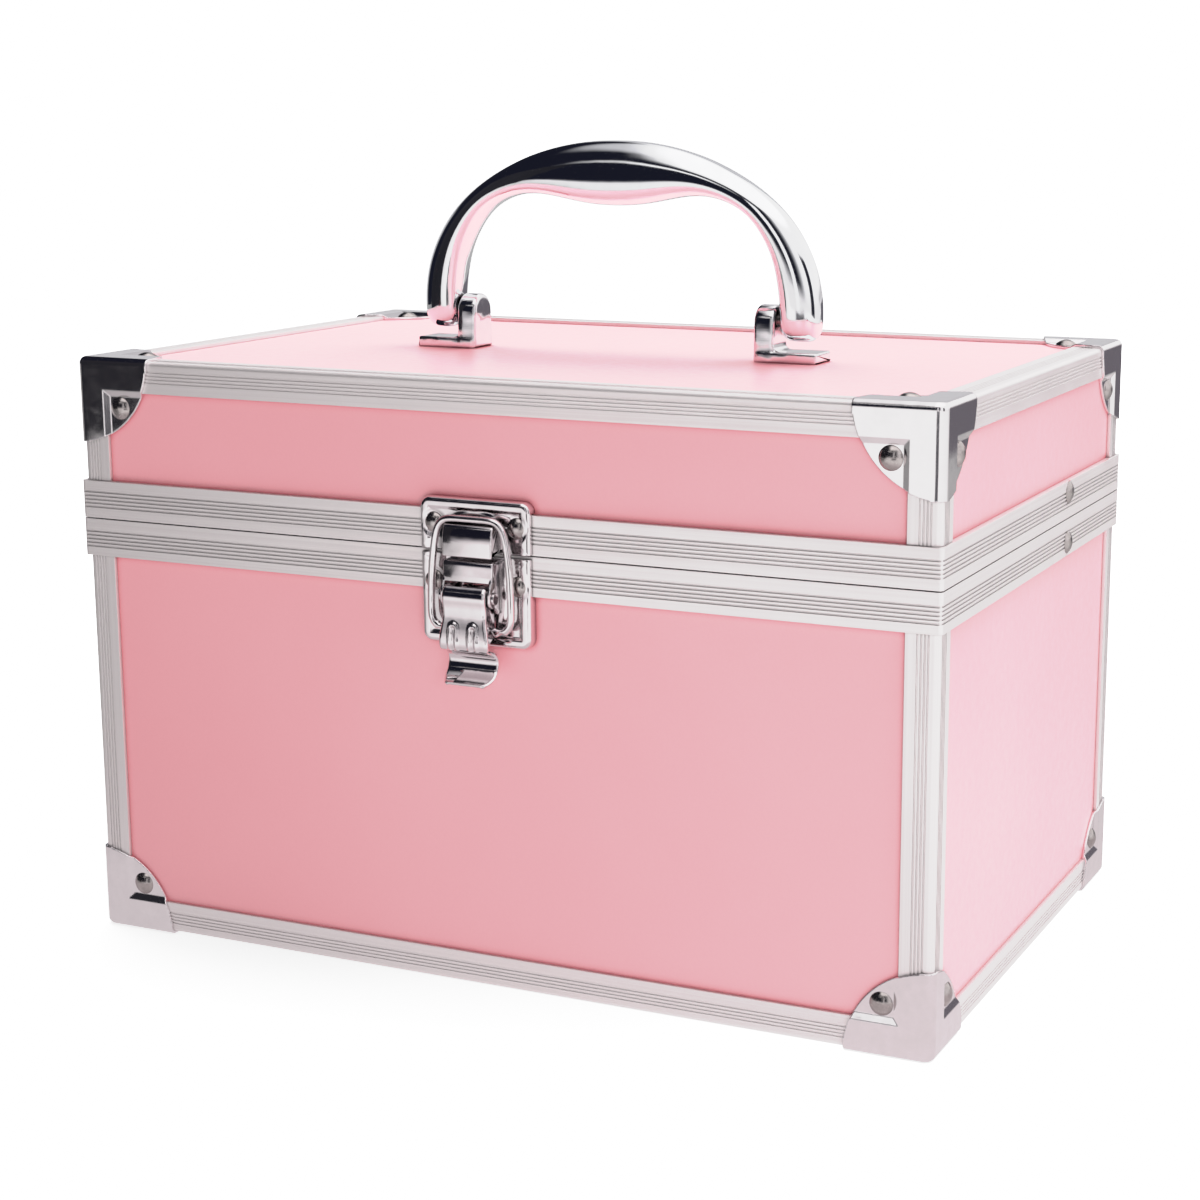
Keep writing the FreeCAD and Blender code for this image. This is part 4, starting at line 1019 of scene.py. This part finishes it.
def card(name, az_deg, dist, width, z0, z1):
    # upright dark card; az is measured from -Y towards -X
    a = math.radians(az_deg)
    c = Vector((-math.sin(a), -math.cos(a), 0)) * dist
    t = Vector((math.cos(a), -math.sin(a), 0)) * (width / 2)
    return plane(name, [c - t + Vector((0, 0, z0)), c + t + Vector((0, 0, z0)), c + t + Vector((0, 0, z1)), c - t + Vector((0, 0, z1))],
                 DARK, hidden=True)


card("dark_card_left", 56, 1.05, 0.80, 0.0, 0.9)


def polar_ramp(m, az, stops):
    cr = m.n("ShaderNodeValToRGB")
    el = cr.color_ramp.elements
    while len(el) > 1:
        el.remove(el[0])
    el[0].position = 0.0
    el[0].color = (stops[0][1],) * 3 + (1,)
    for a_, l_ in stops[1:]:
        e = el.new((a_ + 180) / 360.0)
        e.color = (l_, l_, l_, 1)
    m.link(m.ramp(az, -180, 180, 0, 1), cr.inputs[0])
    return cr.outputs[0]


def glow_material(name, kind):
    # what polished and satin metal sees around the object: a light level that varies slowly over the table
    m = Mat(name)
    m.t.nodes.remove(m.p)
    em = m.n("ShaderNodeEmission")
    m.link(em.outputs[0], m.out.inputs[0])
    sp = m.n("ShaderNodeSeparateXYZ")
    m.link(m.co, sp.inputs[0])
    if kind == "table":
        az = m.math("MULTIPLY", m.math("ARCTAN2", sp.outputs[0], m.math("MULTIPLY", sp.outputs[1], -1.0)), 57.29578)
        far = polar_ramp(m, az, [(-180, 0.58), (-120, 0.50), (-90, 0.34), (-55, 0.32), (-42, 0.36), (-30, 0.96), (-15, 1.30), (0, 1.30),
                                 (60, 1.25), (110, 1.10), (145, 0.47), (180, 0.47)])
        ln = m.n("ShaderNodeVectorMath", operation="LENGTH")
        m.link(m.co, ln.inputs[0])
        wedge = m.math("MULTIPLY", m.math("MULTIPLY", m.ramp(az, 3.0, 9.0, 0.0, 1.0), m.ramp(az, 29.0, 35.0, 1.0, 0.0)),
                       m.ramp(ln.outputs["Value"], 0.50, 0.62, 0.0, 1.0))
        far = m.mixc(m.math("MULTIPLY", wedge, 0.92), far, (0.02, 0.02, 0.03))
        near = polar_ramp(m, az, [(-180, 0.60), (-90, 0.64), (-45, 0.72), (0, 0.76), (60, 0.84), (110, 0.80), (180, 0.60)])
        near = m.mixc(0.5, near, m.mixc(near, (0.0, 0.0, 0.0), (1.0, 0.86, 0.90)))
        m.link(m.mixc(m.ramp(ln.outputs["Value"], 0.19, 0.34, 0.0, 1.0), near, far), em.inputs[0])
        em.inputs[1].default_value = 1.0
    else:
        nz = m.noise(m.mapping((1, 1, 1)), 2.0, 2.0, 0.5)
        m.link(m.mixc(nz, (0.13, 0.12, 0.14), (0.20, 0.185, 0.21)), em.inputs[0])
    return m.m


plane("table_glow", [(-1.7, -1.5, 0.0002), (1.7, -1.5, 0.0002), (1.7, 1.7, 0.0002), (-1.7, 1.7, 0.0002)], glow_material("table_glow", "table"), hidden=True)


def bounce_material():
    # light that the table top sends back up: strong close to the object, weaker on the left and further out
    m = Mat("table_bounce")
    m.t.nodes.remove(m.p)
    em = m.n("ShaderNodeEmission")
    m.link(em.outputs[0], m.out.inputs[0])
    sp = m.n("ShaderNodeSeparateXYZ")
    m.link(m.co, sp.inputs[0])
    az = m.math("MULTIPLY", m.math("ARCTAN2", sp.outputs[0], m.math("MULTIPLY", sp.outputs[1], -1.0)), 57.29578)
    ln = m.n("ShaderNodeVectorMath", operation="LENGTH")
    m.link(m.co, ln.inputs[0])
    m.link(polar_ramp(m, az, [(-180, 0.9), (-90, 0.68), (-45, 0.98), (-15, 1.50), (10, 1.76), (40, 2.0), (90, 2.45), (130, 1.9), (180, 0.9)]),
           em.inputs[0])
    m.link(m.math("MULTIPLY", m.ramp(ln.outputs["Value"], 0.30, 1.8, 1.0, 0.35), m.ramp(ln.outputs["Value"], 0.08, 0.22, 0.74, 1.0)), em.inputs[1])
    return m.m


o_ = plane("table_bounce", [(-3, -3, 0.0004), (3, -3, 0.0004), (3, 3, 0.0004), (-3, 3, 0.0004)], bounce_material(), hidden=True)
o_.visible_diffuse = True
o_.visible_glossy = False
GREY = glow_material("grey_wall", "grey")
o_ = card("grey_card_back", -158, 0.95, 0.75, 0.0, 0.165)
o_.data.materials.clear()
o_.data.materials.append(GREY)

# studio surroundings: white behind the object for the camera, and for reflections a dim room in front,
# a softbox overhead, a bright side on the right and a grey far side
w = bpy.data.worlds.new("studio")
scene.world = w
w.use_nodes = True
wt = w.node_tree
for nd in list(wt.nodes):
    wt.nodes.remove(nd)


def wn(kind, **kw):
    nd = wt.nodes.new(kind)
    for k, v in kw.items():
        setattr(nd, k, v)
    return nd


def wmath(op, a, b=None, c=None):
    nd = wn("ShaderNodeMath", operation=op)
    for i, v in enumerate((a, b, c)):
        if v is None:
            continue
        if hasattr(v, "is_linked"):
            wt.links.new(v, nd.inputs[i])
        else:
            nd.inputs[i].default_value = v
    return nd.outputs[0]


def wstep(v, lo, hi):
    nd = wn("ShaderNodeMapRange", interpolation_type="SMOOTHSTEP")
    nd.inputs["From Min"].default_value = min(lo, hi)
    nd.inputs["From Max"].default_value = max(lo, hi)
    nd.inputs["To Min"].default_value = 0.0 if lo < hi else 1.0
    nd.inputs["To Max"].default_value = 1.0 if lo < hi else 0.0
    wt.links.new(v, nd.inputs["Value"])
    return nd.outputs[0]


def wmix(fac, a, b):
    nd = wn("ShaderNodeMix", data_type="RGBA")
    wt.links.new(fac, nd.inputs[0])
    for v, i in ((a, 6), (b, 7)):
        if hasattr(v, "is_linked"):
            wt.links.new(v, nd.inputs[i])
        else:
            nd.inputs[i].default_value = (*v, 1)
    return nd.outputs[2]


wtc = wn("ShaderNodeTexCoord")
sep = wn("ShaderNodeSeparateXYZ")
wt.links.new(wtc.outputs["Generated"], sep.inputs[0])
WX, WY, WZ = sep.outputs
AZ = wmath("MULTIPLY", wmath("ARCTAN2", WX, wmath("MULTIPLY", WY, -1.0)), 57.29578)    # 0 front, + right
room = (0.62, 0.62, 0.64)
env = wmix(wstep(AZ, 30, 50), room, (1.25, 1.25, 1.27))                                # bright right side
env = wmix(wstep(AZ, 105, 130), env, wmix(wstep(WZ, 0.04, 0.14), (0.54, 0.53, 0.54), (1.30, 1.30, 1.30)))                                  # lit wall behind
front = wmath("MULTIPLY", wmath("MAXIMUM", wstep(AZ, -118, -100), wmath("MULTIPLY", wstep(AZ, -151, -141), wstep(WZ, 0.20, 0.34))),
              wstep(AZ, 44, 24))
front = wmath("MULTIPLY", front, wstep(WZ, 0.90, 0.80))
low = wmath("MULTIPLY", wstep(AZ, -42, -30), wstep(WZ, 0.09, -0.06))
env = wmix(low, env, (0.97, 0.95, 0.96))                                               # far part of the white table
front = wmath("MULTIPLY", front, wmath("SUBTRACT", 1.0, low))
env = wmix(front, env, (0.010, 0.011, 0.020))                                          # dim room in front
strip = wmath("MULTIPLY", wmath("MULTIPLY", wstep(WZ, 0.530, 0.565), wstep(WZ, 0.620, 0.585)),
              wmath("MULTIPLY", wstep(AZ, -40, -26), wstep(AZ, 6, -12)))
env = wmix(strip, env, (1.2, 1.2, 1.2))
flag = wmath("MULTIPLY", wmath("MULTIPLY", wstep(AZ, 58, 63), wstep(AZ, 81, 76)), wstep(WZ, 0.50, 0.42))
env = wmix(flag, env, (0.02, 0.02, 0.03))
strip2 = wmath("MULTIPLY", wmath("MULTIPLY", wstep(AZ, 6, 8), wstep(AZ, 17, 15)), wstep(WZ, 0.62, 0.55))
env = wmix(strip2, env, (1.2, 1.2, 1.22))
env = wmix(wmath("MULTIPLY", wstep(WZ, 0.66, 0.78), wstep(WX, -0.42, -0.22)), env, (1.75, 1.75, 1.75))   # overhead softbox
bg_env = wn("ShaderNodeBackground")
wt.links.new(env, bg_env.inputs[0])
bg_env.inputs[1].default_value = 1.0
bg_amb = wn("ShaderNodeBackground")
side = wmath("MULTIPLY", wmath("MULTIPLY", wstep(AZ, -125, -100), wstep(AZ, 20, -20)), wstep(WZ, 0.80, 0.55))
wt.links.new(wmix(side, (0.30, 0.30, 0.30), (0.03, 0.03, 0.03)), bg_amb.inputs[0])
bg_amb.inputs[1].default_value = 1.0
bg_cam = wn("ShaderNodeBackground")
bg_cam.inputs[0].default_value = (1, 1, 1, 1)
bg_cam.inputs[1].default_value = 3.0
lp = wn("ShaderNodeLightPath")
m1 = wn("ShaderNodeMixShader")
wt.links.new(lp.outputs["Is Glossy Ray"], m1.inputs[0])
wt.links.new(bg_amb.outputs[0], m1.inputs[1])
wt.links.new(bg_env.outputs[0], m1.inputs[2])
m2 = wn("ShaderNodeMixShader")
wt.links.new(lp.outputs["Is Camera Ray"], m2.inputs[0])
wt.links.new(m1.outputs[0], m2.inputs[1])
wt.links.new(bg_cam.outputs[0], m2.inputs[2])
wo = wn("ShaderNodeOutputWorld")
wt.links.new(m2.outputs[0], wo.inputs[0])
w.cycles.sampling_method = "NONE"

area("key_top_left", (-0.60, 0.45, 1.10), (0, 0.02, 0.1), 1.1, 23.0, glossy=False)
area("key_top_right", (0.35, 0.50, 1.15), (0, 0.02, 0.1), 1.1, 22.5, glossy=False)
area("side_right", (1.25, -0.10, 0.12), (0.1, 0, 0.03), 0.9, 6.5, glossy=False)
area("front_fill", (0.62, -0.95, 0.14), (0, 0, 0.03), 0.6, 6.1, glossy=False)

cam = bpy.data.cameras.new("camera")
cam.sensor_width = 36.0
cam.lens = 70.49
cam.shift_x = -0.075
cam.clip_start = 0.02
cam.clip_end = 60.0
co = bpy.data.objects.new("camera", cam)
co.location = (0.2814, -0.5765 + DY * MM, 0.2224)
target = Vector((0.02142, DY * MM, 0.08833))
co.rotation_euler = (target - Vector(co.location)).to_track_quat("-Z", "Y").to_euler()
scene.collection.objects.link(co)
scene.camera = co

# the view: straight up to the mid tones, with a soft shoulder in the highlights
vs = scene.view_settings
vs.view_transform = "Standard"
vs.use_curve_mapping = True
cm = vs.curve_mapping
cm.use_clip = False
WL = 2.5
cm.white_level = (WL, WL, WL)
cv = cm.curves[3]
for (x, y) in ((0.30, 0.30), (0.60, 0.595), (0.80, 0.765), (1.28, 0.885), (1.64, 0.965), (1.95, 1.0)):
    cv.points.new(x / WL, y)
cv.points[0].location = (0.0, 0.0)
cv.points[-1].location = (1.0, 1.0)
for pt in list(cv.points)[-2:]:
    pt.handle_type = "VECTOR"
cm.update()

{"cad": BOX0, "visual": plain(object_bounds())}
